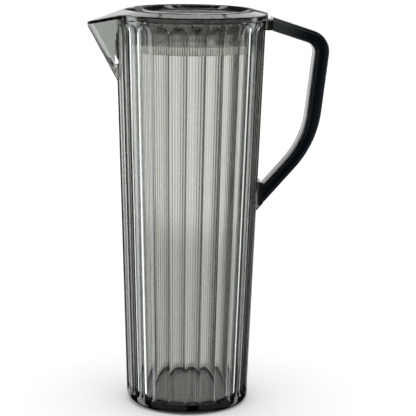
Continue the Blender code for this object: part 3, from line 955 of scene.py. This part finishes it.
@dataclass
class LidCover:
    """The lid cover: a teardrop plate with rim band, beak, shallow dish and lift notches.

    Attributes:
        radius: Radius of the round edge.
        height: Lid top over the rim.
        edge_height: Upper edge of the rim band over the rim.
        crest_r: Radius at which the sloping border reaches the flat top.
        seat: Gap between the rim and the lid.
        beak_over: Beak tip beyond the spout tip.
        beak_spread: Angle from the spout's axis at which the beak's sides leave the rim.
        beak_fall: Fall of the upper edge from the joint to the tip.
        tip_round: Round of the beak tip in plan.
        fillet: Fillet between the round edge and the beak in plan.
        edge_round: Round of the upper edge.
        plate: Thickness of the plate.
        skirt: Width of the rim band.
        dish_r: Radius of the dish at the top.
        dish_floor_r: Radius of the dish's floor.
        dish_depth: Depth of the dish.
        dish_x: Place of the dish's centre along X.
        dish_ease: Round of the dish's edges.
        notch: Width, depth and height of a lift notch.
        notch_ease: Round of a notch's corners.
        steps: Points along the round edge on one side.
        crease: Angle in degrees over which an edge stays crisp.
    """

    radius: float = 0.0535
    height: float = 0.0060
    edge_height: float = 0.0040
    crest_r: float = 0.0440
    seat: float = 0.0004
    beak_over: float = 0.0004
    beak_spread: float = math.radians(25.5)
    beak_fall: float = 0.0068
    tip_round: float = 0.0024
    fillet: float = 0.0030
    edge_round: float = 0.0008
    plate: float = 0.0032
    skirt: float = 0.0027
    dish_r: float = 0.0372
    dish_floor_r: float = 0.0300
    dish_depth: float = 0.0020
    dish_x: float = 0.0032
    dish_ease: float = 0.0005
    notch: tuple[float, float, float] = (0.0127, 0.0015, 0.0026)
    notch_ease: float = 0.0008
    steps: int = 90
    crease: float = 20.0

    @property
    def top(self) -> float:
        """Height of the lid's flat top."""
        return RIM_Z + self.height

    def outline(self, spout: Spout) -> list[Vector]:
        """Plan outline: round edge, fillets, beak sides and tip.

        Args:
            spout: The spout that the beak covers.

        Returns:
            Points (x, y) round the outline.
        """
        joint_x, joint_y = on_rim(self.beak_spread)
        flank = math.atan2(joint_y, spout.tip - joint_x)
        apex = spout.tip + self.beak_over + self.tip_round * (1.0 / math.sin(flank) - 1.0)
        along = Vector((math.cos(flank), math.sin(flank)))
        normal = Vector((-math.sin(flank), math.cos(flank)))
        base = Vector((-apex, 0.0)) + normal * self.fillet
        dot = base.dot(along)
        reach = math.sqrt(dot * dot - base.dot(base) + (self.radius + self.fillet) ** 2)
        centre = base - along * (dot + reach)
        tip = Vector((-apex + self.tip_round / math.sin(flank), 0.0))

        def heading(way: Vector) -> float:
            """Angle of a direction in plan."""
            return math.atan2(way.y, way.x)

        def arc(middle: Vector, radius: float, start: float, end: float, n: int) -> list[Vector]:
            """Points along an arc."""
            turns = [start + (end - start) * k / n for k in range(n + 1)]
            return [middle + Vector((math.cos(t), math.sin(t))) * radius for t in turns]

        half = arc(Vector((0.0, 0.0)), self.radius, 0.0, heading(centre), self.steps)
        half += arc(centre, self.fillet, heading(-centre), heading(-normal), 8)[1:]
        side = arc(tip, self.tip_round, heading(normal), math.pi, 8)
        half += [half[-1].lerp(side[0], k / 12.0) for k in range(1, 12)] + side
        return half + [Vector((p.x, -p.y)) for p in reversed(half[1:-1])]

    @staticmethod
    def wedge(name: str, ends: Span, z: float, fall: float, rise: float) -> Thing:
        """A cutting wedge over or under the lid.

        Args:
            name: Object name.
            ends: Where it starts and ends along X.
            z: Height of its cutting face at the start.
            fall: Fall per metre of its cutting face.
            rise: How far it stands away from the lid, negative downwards.

        Returns:
            The closed object.
        """
        near, far = ends
        corners = [(near, z), (far, z - fall * (near - far)), (far, z + rise), (near, z + rise)]
        return Bench.bar(name, corners, 0.07)

    def underside(self) -> Thing:
        """The space under the plate inside the rim band, round the dish.

        Returns:
            The closed object.
        """
        low = self.top - self.plate
        inside = self.radius - self.skirt
        lathe = Lathe("underside", ROUND, self.dish_floor_r - self.dish_ease,
                      low - self.dish_depth, centre=self.dish_x)
        lathe.rings([(self.dish_r, low)], self.dish_x)
        lathe.rings([(inside, low), (inside, RIM_Z - 0.012)])
        return lathe.cap(25.0)

    def dish(self) -> Thing:
        """The shallow dish in the lid's top, with rings that keep its slope straight.

        Returns:
            The closed object.
        """
        ease, soft, lift = self.dish_ease, 0.0006, 0.00017
        low = self.top - self.dish_depth
        start = self.dish_floor_r - soft
        foot = Vector((self.dish_floor_r + soft, low + lift))
        head = Vector((self.dish_r - ease, self.top - 0.25 * ease))
        places = [(start + 2.0 * soft * share, low + lift * share * share)
                  for share in (0.25, 0.5, 0.75, 1.0)]
        places += [tuple(foot.lerp(head, share)) for share in (0.06, 0.94, 1.0)]
        places += [(self.dish_r, self.top - 0.06 * ease), (self.dish_r + ease, self.top + 0.00001),
                   (self.dish_r + ease, self.top + 0.004)]
        lathe = Lathe("dish", ROUND, start, low, centre=self.dish_x)
        lathe.rings(places, self.dish_x)
        return lathe.cap(30.0)

    def border(self, piece: Thing) -> None:
        """Rounds the plate's upper edge and draws its top in to the crest of the border.

        Args:
            piece: The plate, closed.
        """
        Bench.take(piece, "EDIT")
        Bench.pick(piece, Element.FACE, lambda face: face.normal.z > 0.5)
        bpy.ops.mesh.region_to_loop()
        bpy.ops.mesh.bevel(offset=self.edge_round, segments=4, affect="EDGES", clamp_overlap=False)
        for away, fall in ((0.0030, 0.00060), (0.0012, 0.00017), (0.0, 0.0)):
            Bench.pick(piece, Element.FACE,
                       lambda face: len(face.verts) > 12 and face.normal.z > 0.5)
            Bench.extrude((0.0, 0.0, 0.0))
            Bench.draw(piece, self.crest_r + away, self.top - fall)
        Bench.close(piece, self.crease)

    def notches(self) -> list[Thing]:
        """The two lift notches in the rim band.

        Returns:
            Closed shapes to cut out of the cover.
        """
        wide, deep, tall = self.notch
        half, ease = 0.5 * wide, self.notch_ease
        low, high = RIM_Z - 0.003, RIM_Z + self.seat + tall
        right = [(half, low), (half, high - ease), (half - 0.3 * ease, high - 0.3 * ease),
                 (half - ease, high)]
        outline = [(-half, low)] + right + [(-x, z) for x, z in right[:0:-1]]
        tools = []
        for name, side in (("front_notch", -1.0), ("back_notch", 1.0)):
            near = side * (self.radius - deep)
            corners = [(x, near, z) for x, z in outline]
            tools.append(Bench.prism(name, corners, (0.0, side * 0.006, 0.0)))
        return tools

    def build(self) -> Thing:
        """Builds the cover from its plan outline.

        Returns:
            The finished piece.
        """
        spout = Spout()
        joint, rim = -on_rim(self.beak_spread)[0], -on_rim(spout.spread)[0]
        near, far, over = 0.07, -0.09, 0.010
        slope = self.beak_fall / (spout.tip + joint)
        low = RIM_Z + self.seat
        corners = [(p.x, p.y, RIM_Z - over) for p in self.outline(spout)]
        piece = Bench.prism("lid_plate", corners, (0.0, 0.0, self.edge_height + over), 25.0)
        Bench.combine(piece, Joining.CUT,
                      self.wedge("beak_top", (joint, far), RIM_Z + self.edge_height, slope, 0.02))
        self.border(piece)
        Bench.combine(piece, Joining.CUT,
                      self.wedge("under_cut", (near, rim), low, 0.0, -0.03),
                      self.wedge("beak_under", (rim, far), low, spout.fall(), -0.03),
                      self.underside(), self.dish(), *self.notches())
        Bench.crisp(piece, self.crease)
        return piece


@dataclass
class LidCollar:
    """The collar that hangs in the mouth: skirt, flange, key rib and spout cut-out.

    Attributes:
        low_z: Height of the lower edge.
        flange_top: Height of the flange's upper face.
        flange: Thickness of the flange.
        flange_r: Radius of the flange.
        wall: Thickness of the skirt.
        gap: Gap between the skirt and the body.
        ease: Round of the lower edge.
        cut: Half angle of the cut-out at the spout.
        cut_r: Reach of the cut-out.
        cut_steps: Facets of the cut-out.
        crease: Angle in degrees over which an edge stays crisp.
    """

    low_z: float = 0.2526
    flange_top: float = 0.2765
    flange: float = 0.0017
    flange_r: float = 0.0505
    wall: float = 0.0018
    gap: float = 0.0005
    ease: float = 0.0004
    cut: float = math.radians(9.0)
    cut_r: float = 0.0623
    cut_steps: int = 24
    crease: float = 25.0

    def build(self, inner: Callable[[float], float]) -> Thing:
        """Builds the collar.

        Args:
            inner: Radius of the body's inside wall at a height.

        Returns:
            The finished piece.
        """
        low_r = inner(self.low_z) - self.gap
        top_r = inner(RIM_Z) - self.gap
        below = self.flange_top - self.flange
        neck_r = top_r - self.wall - 0.0010
        lip = [(self.ease * share ** 2, self.low_z + self.ease * (1.0 - share) ** 2)
               for share in (0.0, 0.3, 0.7, 1.0)]
        lathe = Lathe("lid_skirt", ROUND, self.flange_r, self.flange_top, "NOTHING")
        lathe.rings([(self.flange_r, below), (top_r, below), (top_r, RIM_Z)])
        lathe.rings([(low_r - inset, z) for inset, z in lip])
        lathe.rings([(low_r - self.wall + inset, z) for inset, z in reversed(lip)])
        lathe.rings([(top_r - self.wall, RIM_Z), (neck_r, below), (neck_r, self.flange_top)])
        piece = lathe.loop(self.crease)
        rib = Key().shape("key_rib", 0.0, top_r - self.wall + 0.0008, inner(RIM_Z) + Key.stand,
                          below + 0.5 * self.flange)
        Bench.combine(piece, Joining.ADD, rib)
        start = self.low_z - 0.005
        sector = [(0.0, 0.0, start)]
        for k in range(self.cut_steps + 1):
            turn = math.pi - self.cut + 2.0 * self.cut * k / self.cut_steps
            sector.append((self.cut_r * math.cos(turn), self.cut_r * math.sin(turn), start))
        run = (0.0, 0.0, RIM_Z - 0.0012 - self.low_z + 0.005)
        Bench.combine(piece, Joining.CUT, Bench.prism("spout_cut_out", sector, run))
        Bench.crisp(piece, self.crease)
        return piece


class Wires:
    """Short hand for joining up the nodes of one tree."""

    def __init__(self, tree: bpy.types.NodeTree) -> None:
        """Keeps the tree."""
        self.tree = tree

    def feed(self, socket: Socket, value: Wire) -> None:
        """Joins a socket to another one, or sets its value.

        Args:
            socket: Input to feed.
            value: Output socket, number, vector or colour.
        """
        if isinstance(value, Socket):
            self.tree.links.new(value, socket)
        else:
            socket.default_value = (*value, 1.0) if socket.type == "RGBA" else value

    def add(self, kind: str, operation: str = "", **values: Wire) -> bpy.types.Node:
        """Adds a node and feeds its named inputs.

        Args:
            kind: Type name of the node, without the ShaderNode in front.
            operation: Its operation, where it has one.
            values: Sockets or plain values by input name, with _ for a space.

        Returns:
            The node.
        """
        node = self.tree.nodes.new("ShaderNode" + kind)
        if operation:
            node.operation = operation
        for name, value in values.items():
            self.feed(node.inputs[name.replace("_", " ")], value)
        return node

    def math(self, operation: str, *values: Wire, kind: str = "Math") -> Socket:
        """Adds a sum.

        Args:
            operation: Its operation.
            values: Sockets or plain values in order.
            kind: Math for numbers or VectorMath for vectors.

        Returns:
            The result.
        """
        node = self.add(kind, operation)
        for socket, value in zip(node.inputs, values):
            self.feed(socket, value)
        return node.outputs[0]

    def product(self, first: Wire, *others: Wire) -> Socket:
        """Multiplies numbers.

        Args:
            first: First socket or number.
            others: Sockets or numbers that it is multiplied by.

        Returns:
            The product.
        """
        for other in others:
            first = self.math("MULTIPLY", first, other)
        return first

    def parts(self) -> Any:
        """Outputs with the place on the piece, by axis."""
        place = self.add("TexCoord").outputs["Object"]
        return self.add("SeparateXYZ", Vector=place).outputs

    def radius(self) -> Socket:
        """Adds the distance from the jug's axis.

        Returns:
            The distance.
        """
        parts = self.parts()
        squares = [self.product(parts[axis], parts[axis]) for axis in "XY"]
        return self.math("SQRT", self.math("ADD", *squares))

    def step(self, value: Socket, none: float, full: float) -> Socket:
        """A soft step.

        Args:
            value: Value that the step runs over.
            none: Value at which the step is 0.
            full: Value at which the step is 1.

        Returns:
            The step.
        """
        rising = none < full
        node = self.add("MapRange", Value=value, From_Min=min(none, full), From_Max=max(none, full),
                        To_Min=0.0 if rising else 1.0, To_Max=1.0 if rising else 0.0)
        node.interpolation_type = "SMOOTHSTEP"
        return node.outputs["Result"]

    def mix(self, first: Wire, second: Wire, share: Wire) -> Socket:
        """Mixes two colours.

        Args:
            first: Colour at share 0.
            second: Colour at share 1.
            share: Share of the second colour.

        Returns:
            The mixed colour.
        """
        node = self.add("Mix")
        node.data_type = "RGBA"
        for number, value in ((0, share), (6, first), (7, second)):
            self.feed(node.inputs[number], value)
        return node.outputs[2]


def blank(name: str) -> tuple[bpy.types.Material, Wires, bpy.types.Node]:
    """Makes a new material.

    Args:
        name: Material name.

    Returns:
        The material, its wires and its shader.
    """
    mat = bpy.data.materials.new(name)
    mat.use_nodes = True
    return mat, Wires(mat.node_tree), mat.node_tree.nodes["Principled BSDF"]


class MouldedSkin:
    """Faint unevenness of a polished moulding, shared by every finish as one node group."""

    NAME = "moulded skin"

    @classmethod
    def group(cls) -> bpy.types.NodeTree:
        """Makes the group, or finds it if it is there.

        Returns:
            The node group with its named inputs and outputs.
        """
        tree = bpy.data.node_groups.get(cls.NAME)
        if tree:
            return tree
        tree = bpy.data.node_groups.new(cls.NAME, "ShaderNodeTree")
        for way, names in (("INPUT", ("Gloss", "Scuff", "Scale")),
                           ("OUTPUT", ("Roughness", "Height", "Shade"))):
            for name in names:
                tree.interface.new_socket(name, in_out=way, socket_type="NodeSocketFloat")
        wires = Wires(tree)
        given = tree.nodes.new("NodeGroupInput").outputs
        place = wires.add("TexCoord").outputs["Object"]
        sink = wires.add("TexNoise", Vector=place, Scale=given["Scale"], Detail=1.0)
        fine = wires.product(given["Scale"], 9.0)
        rub = wires.add("TexNoise", Vector=place, Scale=fine, Detail=5.0, Roughness=0.65)
        shade = wires.add("TexNoise", Vector=place, Scale=11.0, Detail=2.0)
        worn = wires.math("POWER", rub.outputs["Fac"], 3.0)
        rough = wires.math("MULTIPLY_ADD", worn, given["Scuff"], given["Gloss"])
        result = tree.nodes.new("NodeGroupOutput")
        for name, value in (("Roughness", rough), ("Height", sink.outputs["Fac"]),
                            ("Shade", shade.outputs["Fac"])):
            wires.feed(result.inputs[name], value)
        return tree

    @classmethod
    def place(cls, wires: Wires, shader: bpy.types.Node, gloss: float, scuff: float,
              scale: float, relief: float) -> bpy.types.Node:
        """Puts the group into a material and joins its relief to the shader.

        Args:
            wires: Node tree of the material.
            shader: The material's shader.
            gloss: Roughness of the cleanest places.
            scuff: Roughness that the most rubbed places add.
            scale: Patches of the relief per metre.
            relief: Strength of the relief.

        Returns:
            The group's node.
        """
        node = wires.add("Group")
        node.node_tree = cls.group()
        for name, value in (("Gloss", gloss), ("Scuff", scuff), ("Scale", scale)):
            wires.feed(node.inputs[name], value)
        bump = wires.add("Bump", Strength=relief, Distance=0.0004, Height=node.outputs["Height"])
        wires.feed(shader.inputs["Normal"], bump.outputs["Normal"])
        return node


@dataclass(frozen=True)
class Zone:
    """Part of a clear piece that is painted darker; at the foot, collar and dish this is painted
    shade.

    Attributes:
        colour: What the zone's surface lets through.
        x: Range towards the handle.
        r: Range of distances from the jug's axis.
        z: Range of heights.
        soft: Width of the faded edges.
    """

    colour: Colour
    x: Span = EVERYWHERE
    r: Span = EVERYWHERE
    z: Span = EVERYWHERE
    soft: float = 0.0008

    def mask(self, wires: Wires) -> Wire:
        """Mask of the zone.

        Args:
            wires: Node tree of the material.

        Returns:
            The socket with the mask.
        """
        parts = wires.parts()
        places = ((parts["X"], self.x), (wires.radius(), self.r), (parts["Z"], self.z))
        share: Wire = 1.0
        for place, (low, high) in places:
            if (low, high) != EVERYWHERE:
                above = wires.step(place, low - self.soft, low)
                below = wires.step(place, high + self.soft, high)
                share = wires.product(share, wires.product(above, below))
        return share


@dataclass(frozen=True)
class ClearFinish:
    """Clear moulded plastic with a smoke tint that deepens with thickness.

    Attributes:
        name: Material name.
        slot: Slot of the record; not used.
        tint: Colour that the smoke lets through.
        density: Strength of the smoke per metre.
        pale: Surface colour of the clearest places.
        dull: Surface colour of the dullest places.
        index: Refractive index.
        gloss: Roughness of the polished outside.
        scuff: Roughness that the most rubbed places add.
        patches: Patches of the relief per metre.
        relief: Strength of the moulding's relief.
        haze: Roughness that the inside wall adds.
        haze_low: Heights between which the haze sets in above the floor.
        haze_high: Heights between which the haze sets in below the collar.
        zones: Places painted darker, some of them with painted shade.
    """

    name: str
    slot: Slot
    tint: Colour
    density: float
    pale: Colour = (0.98, 0.985, 0.97)
    dull: Colour = (0.95, 0.955, 0.935)
    index: float = 1.56
    gloss: float = 0.015
    scuff: float = 0.05
    patches: float = 70.0
    relief: float = 0.05
    haze: float = 0.0
    haze_low: Span = (0.012, 0.034)
    haze_high: Span = (0.262, 0.240)
    zones: tuple[Zone, ...] = ()

    def material(self) -> bpy.types.Material:
        """Makes the material.

        Returns:
            The material.
        """
        mat, wires, shader = blank(self.name)
        shader.inputs["IOR"].default_value = self.index
        shader.inputs["Transmission Weight"].default_value = 1.0
        skin = MouldedSkin.place(wires, shader, self.gloss, self.scuff, self.patches, self.relief)
        colour = wires.mix(self.dull, self.pale, skin.outputs["Shade"])
        # Zones lay a darker colour over the surface, partly as painted shade.
        for zone in self.zones:
            colour = wires.mix(colour, zone.colour, zone.mask(wires))
        wires.feed(shader.inputs["Base Color"], colour)
        rough = skin.outputs["Roughness"]
        if self.haze:
            rough = wires.math("MULTIPLY_ADD", self.inside(wires), self.haze, rough)
        wires.feed(shader.inputs["Roughness"], rough)
        smoke = wires.add("VolumeAbsorption", Color=self.tint, Density=self.density)
        output = mat.node_tree.nodes["Material Output"]
        wires.feed(output.inputs["Volume"], smoke.outputs["Volume"])
        return mat

    def inside(self, wires: Wires) -> Socket:
        """Mask of the body's inside wall between the floor and the collar.

        Args:
            wires: Node tree of the material.

        Returns:
            The socket with the mask.
        """
        jug = JugBody()
        height = wires.parts()["Z"]
        low, high = jug.inner(0.0), jug.inner(RIM_Z)
        wall = wires.math("MULTIPLY_ADD", height, (high - low) / RIM_Z, low + 0.0004)
        within = wires.math("LESS_THAN", wires.radius(), wall)
        over = wires.step(height, *self.haze_low)
        under = wires.step(height, *self.haze_high)
        return wires.product(within, wires.product(over, under))


@dataclass(frozen=True)
class DarkFinish:
    """Deep smoked plastic that looks almost black, with painted light showing through it near the
    upper root.

    Attributes:
        name: Material name.
        slot: Slot of the record; not used.
        deep: Colour of the thick places.
        clear: Painted colour of light showing through near the upper root.
        index: Refractive index.
        gloss: Roughness of the polished places.
        scuff: Roughness that the most rubbed places add.
        patches: Patches of the relief per metre.
        relief: Strength of the moulding's relief.
        root_x: Distances along X between which the painted light sets in.
        root_z: Heights between which the painted light sets in.
        uneven: How much the painted light varies, and its least share.
    """

    name: str
    slot: Slot
    deep: Colour
    clear: Colour = (0.030, 0.036, 0.034)
    index: float = 1.52
    gloss: float = 0.05
    scuff: float = 0.12
    patches: float = 60.0
    relief: float = 0.04
    root_x: Span = (0.084, 0.056)
    root_z: Span = (0.250, 0.266)
    uneven: Span = (0.8, 0.6)

    def material(self) -> bpy.types.Material:
        """Makes the material.

        Returns:
            The material.
        """
        mat, wires, shader = blank(self.name)
        shader.inputs["IOR"].default_value = self.index
        skin = MouldedSkin.place(wires, shader, self.gloss, self.scuff, self.patches, self.relief)
        wires.feed(shader.inputs["Roughness"], skin.outputs["Roughness"])
        parts = wires.parts()
        # Painted light: the handle turns olive near the upper root, as if lit through.
        near = wires.step(parts["X"], *self.root_x)
        root = wires.product(near, wires.step(parts["Z"], *self.root_z))
        share = wires.product(root, wires.math("MULTIPLY_ADD", skin.outputs["Shade"], *self.uneven))
        wires.feed(shader.inputs["Base Color"], wires.mix(self.deep, self.clear, share))
        return mat


@dataclass
class CameraRig:
    """The camera, at the photograph's viewing angle.

    Attributes:
        distance: From the camera to its target.
        pitch: Downward tilt.
        roll: Turn of the picture.
        turn: Turn of the jug that brings the spout towards the camera.
        aim: Place sideways and height of the target.
        lens: Focal length in millimetres.
    """

    distance: float = 1.150
    pitch: float = 0.203742
    roll: float = -0.013210
    turn: float = math.radians(5.5)
    aim: Span = (0.013482, 0.139582)
    lens: float = SENSOR * 1621.15 / 416.0

    def build(self) -> None:
        """Makes the camera and hands it to the scene."""
        forward = Vector((0.0, math.cos(self.pitch), -math.sin(self.pitch)))
        up = Vector((0.0, math.sin(self.pitch), math.cos(self.pitch)))
        right = Vector((1.0, 0.0, 0.0))
        side = right * math.cos(self.roll) - up * math.sin(self.roll)
        top = right * math.sin(self.roll) + up * math.cos(self.roll)
        frame = Matrix((side, top, -forward)).transposed().to_4x4()
        frame.translation = Vector((self.aim[0], 0.0, self.aim[1])) - forward * self.distance
        data = bpy.data.cameras.new("camera")
        data.sensor_width = SENSOR
        data.lens = self.lens
        data.clip_start = 0.05
        camera = bpy.data.objects.new("camera", data)
        camera.matrix_world = Matrix.Rotation(-self.turn, 4, "Z") @ frame
        bpy.context.scene.collection.objects.link(camera)
        bpy.context.scene.camera = camera


@dataclass(frozen=True)
class Panel:
    """A soft studio panel round the jug, seen in its gloss and through its walls.

    Attributes:
        name: What the panel is in the studio.
        azimuth: Direction of its middle in degrees, from straight behind towards the handle.
        half: Half its width in degrees.
        low: Elevation of its lower edge in degrees.
        high: Elevation of its upper edge in degrees.
        level: Brightness, where 1 is white.
        soft: Width of its faded edges in degrees.
        tint: Colour of its light.
    """

    name: str
    azimuth: float
    half: float
    low: float
    high: float
    level: float
    soft: float = 6.0
    tint: Colour = (1.0, 1.0, 1.0)

    def light(self, wires: Wires, azimuth: Socket, elevation: Socket) -> Socket:
        """Brightness of the panel over all directions.

        Args:
            wires: Node tree of the surroundings.
            azimuth: Direction round the jug, in radians.
            elevation: Direction above the horizon, in radians.

        Returns:
            The socket with the brightness.
        """
        turn, half, low, high, soft = (math.radians(angle) for angle in (
            self.azimuth, self.half, self.low, self.high, 0.5 * self.soft))
        offset = wires.math("SUBTRACT", azimuth, turn)
        away = wires.math("ABSOLUTE", wires.math("WRAP", offset, math.pi, -math.pi))
        across = wires.step(away, half + soft, half - soft)
        above = wires.step(elevation, low - soft, low + soft)
        below = wires.step(elevation, high + soft, high - soft)
        return wires.product(wires.product(across, wires.product(above, below)), self.level)


@dataclass
class Studio:
    """Floor and surroundings.

    Attributes:
        floor_half: Half width of the floor.
        floor_z: Height of the floor, just under the standing ring.
        floor_tone: Colour of the floor.
        floor_rough: Roughness of the floor.
        plain: Brightness of the even light on the floor and the matt surfaces.
        base: Brightness between the panels.
        panels: Panels round the jug.
    """

    floor_half: float = 6.0
    floor_z: float = -0.0002
    floor_tone: float = 0.95
    floor_rough: float = 0.9
    plain: float = 1.22
    base: float = 0.02
    panels: tuple[Panel, ...] = (
        Panel("white table", -9.0, 27.0, -40.0, 3.5, 0.58, 2.0),
        Panel("lit side of the table", -21.0, 15.0, -40.0, 3.5, 0.30, 3.0),
        Panel("far edge of the table", -9.0, 27.0, -14.0, 3.5, 0.36, 2.0),
        Panel("shaded table", 27.0, 6.0, -40.0, 3.5, 0.28, 3.0),
        Panel("wall left of the door", -18.2, 17.7, 3.5, 11.0, 1.05, 0.4),
        Panel("wall right of the door", 18.8, 8.3, 3.5, 11.0, 1.05, 0.4),
        Panel("left window", -75.0, 11.0, -40.0, 20.0, 2.5, 2.0, (0.95, 0.99, 1.05)),
        Panel("right window", 75.0, 6.0, -40.0, 20.0, 1.9, 2.0, (0.95, 0.99, 1.05)),
        Panel("left of the room", -57.0, 27.0, 3.5, 11.0, 0.9),
        Panel("right of the room", 57.0, 27.0, 3.5, 11.0, 0.9),
        Panel("upper wall left of the door", -42.8, 42.3, 11.0, 30.5, 1.4, 0.4),
        Panel("upper wall right of the door", 47.8, 37.3, 11.0, 30.5, 1.4, 0.4),
        Panel("beam over the door", 5.0, 5.2, 28.4, 31.4, 1.4, 0.8),
        Panel("wall over the door", 5.0, 3.6, 31.4, 33.8, 1.4, 0.4),
        Panel("light in the doorway", 5.0, 5.5, 3.5, 6.0, 0.16, 0.8),
        Panel("softbox over the camera", 180.0, 60.0, 20.0, 50.0, 0.4, 10.0),
        Panel("table left of the camera", -138.0, 36.0, -40.0, 3.5, 0.24, 8.0),
        Panel("table right of the camera", 126.0, 36.0, -40.0, 3.5, 0.22, 8.0),
        Panel("table round the foot", 0.0, 181.0, -95.0, -62.0, 0.35, 6.0),
    )

    def build(self) -> None:
        """Sets up the stage and the light."""
        bpy.context.scene.view_settings.view_transform = "Standard"
        self.floor()
        self.surroundings()

    def floor(self) -> None:
        """Lays the pale floor, which clear walls look past to the panels."""
        Bench.clear()
        bpy.ops.mesh.primitive_plane_add(size=2.0 * self.floor_half,
                                         location=(0.0, 0.0, self.floor_z))
        floor = bpy.context.object
        floor.name = "floor"
        floor.visible_glossy = False
        floor.visible_transmission = False
        mat, wires, shader = blank("pale floor")
        wires.feed(shader.inputs["Base Color"], (self.floor_tone,) * 3)
        shader.inputs["Roughness"].default_value = self.floor_rough
        shader.inputs["Specular IOR Level"].default_value = 0.0
        floor.data.materials.append(mat)

    def surroundings(self) -> None:
        """Sets even white light, with the panels in gloss and behind clear walls."""
        world = bpy.data.worlds.new("studio")
        bpy.context.scene.world = world
        world.use_nodes = True
        wires = Wires(world.node_tree)
        way = wires.add("TexCoord").outputs["Generated"]
        parts = wires.add("SeparateXYZ", Vector=way).outputs
        azimuth = wires.math("ARCTAN2", parts["X"], parts["Y"])
        elevation = wires.math("ARCSINE", parts["Z"])
        total: Wire = (self.base,) * 3
        for panel in self.panels:
            level = panel.light(wires, azimuth, elevation)
            light = wires.add("VectorMath", "SCALE", Vector=panel.tint, Scale=level)
            total = wires.math("ADD", total, light.outputs["Vector"], kind="VectorMath")
        path = wires.add("LightPath").outputs
        clear = wires.math("MAXIMUM", path["Is Glossy Ray"], path["Is Transmission Ray"])
        even = wires.mix((1.0,) * 3, (self.plain,) * 3, path["Is Diffuse Ray"])
        back = world.node_tree.nodes["Background"]
        wires.feed(back.inputs["Color"], wires.mix(even, total, clear))
        back.inputs["Strength"].default_value = 1.0


SMOKE = ClearFinish("smoked clear plastic", Slot.BODY, (0.18, 0.20, 0.12), 125.0, zones=(
    # Painted shade: the floor inside the foot ring is painted dark.
    Zone((0.060, 0.068, 0.064), r=(-1.0, 0.039), z=(-1.0, 0.0090)),
    # The thick foot ring is painted near black: its deep plastic, with painted shade.
    Zone((0.02, 0.022, 0.022), r=(0.0395, 1.0), z=(-1.0, 0.0054)),
    # The spout's flanks are painted darker than the rest of the body.
    Zone((0.72, 0.74, 0.72), x=(-1.0, -0.0525), z=(0.2000, 1.0)),
    Zone((0.03, 0.034, 0.034), x=(0.0535, 1.0), z=(0.2200, 1.0)),
    Zone((0.03, 0.034, 0.034), x=(0.0490, 1.0), z=(0.1200, 0.1780)),
), haze=0.075)
LID = ClearFinish("smoked lid plastic", Slot.LID, (0.18, 0.20, 0.12), 150.0, zones=(
    # Painted shade: the sloping wall of the lid's dish is painted near black.
    Zone((0.03, 0.032, 0.03), r=(-1.0, 0.0425), z=(0.2782, 0.2798), soft=0.0002),
))
COLLAR = ClearFinish("smoked collar plastic", Slot.COLLAR, (0.18, 0.20, 0.13), 60.0, zones=(
    # Painted shade under the lid: the collar is painted darker towards its top, in two steps.
    Zone((0.58, 0.59, 0.57), z=(0.2585, 1.0)),
    Zone((0.40, 0.41, 0.40), z=(0.2665, 1.0)),
))
DARK = DarkFinish("dark handle plastic", Slot.HANDLE, (0.0012, 0.0030, 0.0055))
STRIP = DarkFinish("dark strip plastic", Slot.STRIP, (0.010, 0.012, 0.011))


def main() -> None:
    """Builds the jug's looks piece by piece."""
    logging.basicConfig(level=logging.INFO, format="%(name)s: %(message)s")
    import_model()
    jug = JugBody()
    strap = Strap()
    pieces = (
        (jug.build(), SMOKE, Node.BODY, Carrier.JUG),
        (strap.shell(), DARK, Node.SHELL, Carrier.JUG),
        (strap.strip(), STRIP, Node.STRIP, Carrier.JUG),
        (LidCover().build(), LID, Node.COVER, Carrier.LID),
        (LidCollar().build(jug.inner), COLLAR, Node.COLLAR, Carrier.LID),
    )
    for piece, finish, node, carrier in pieces:
        piece.data.materials.clear()
        piece.data.materials.append(finish.material())
        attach(piece, carrier.value)
        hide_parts(node.value)
        LOG.info("%s: %d faces", piece.name, len(piece.data.polygons))
    Studio().build()
    CameraRig().build()
    Bench.clear()


if __name__ == "__main__":
    main()
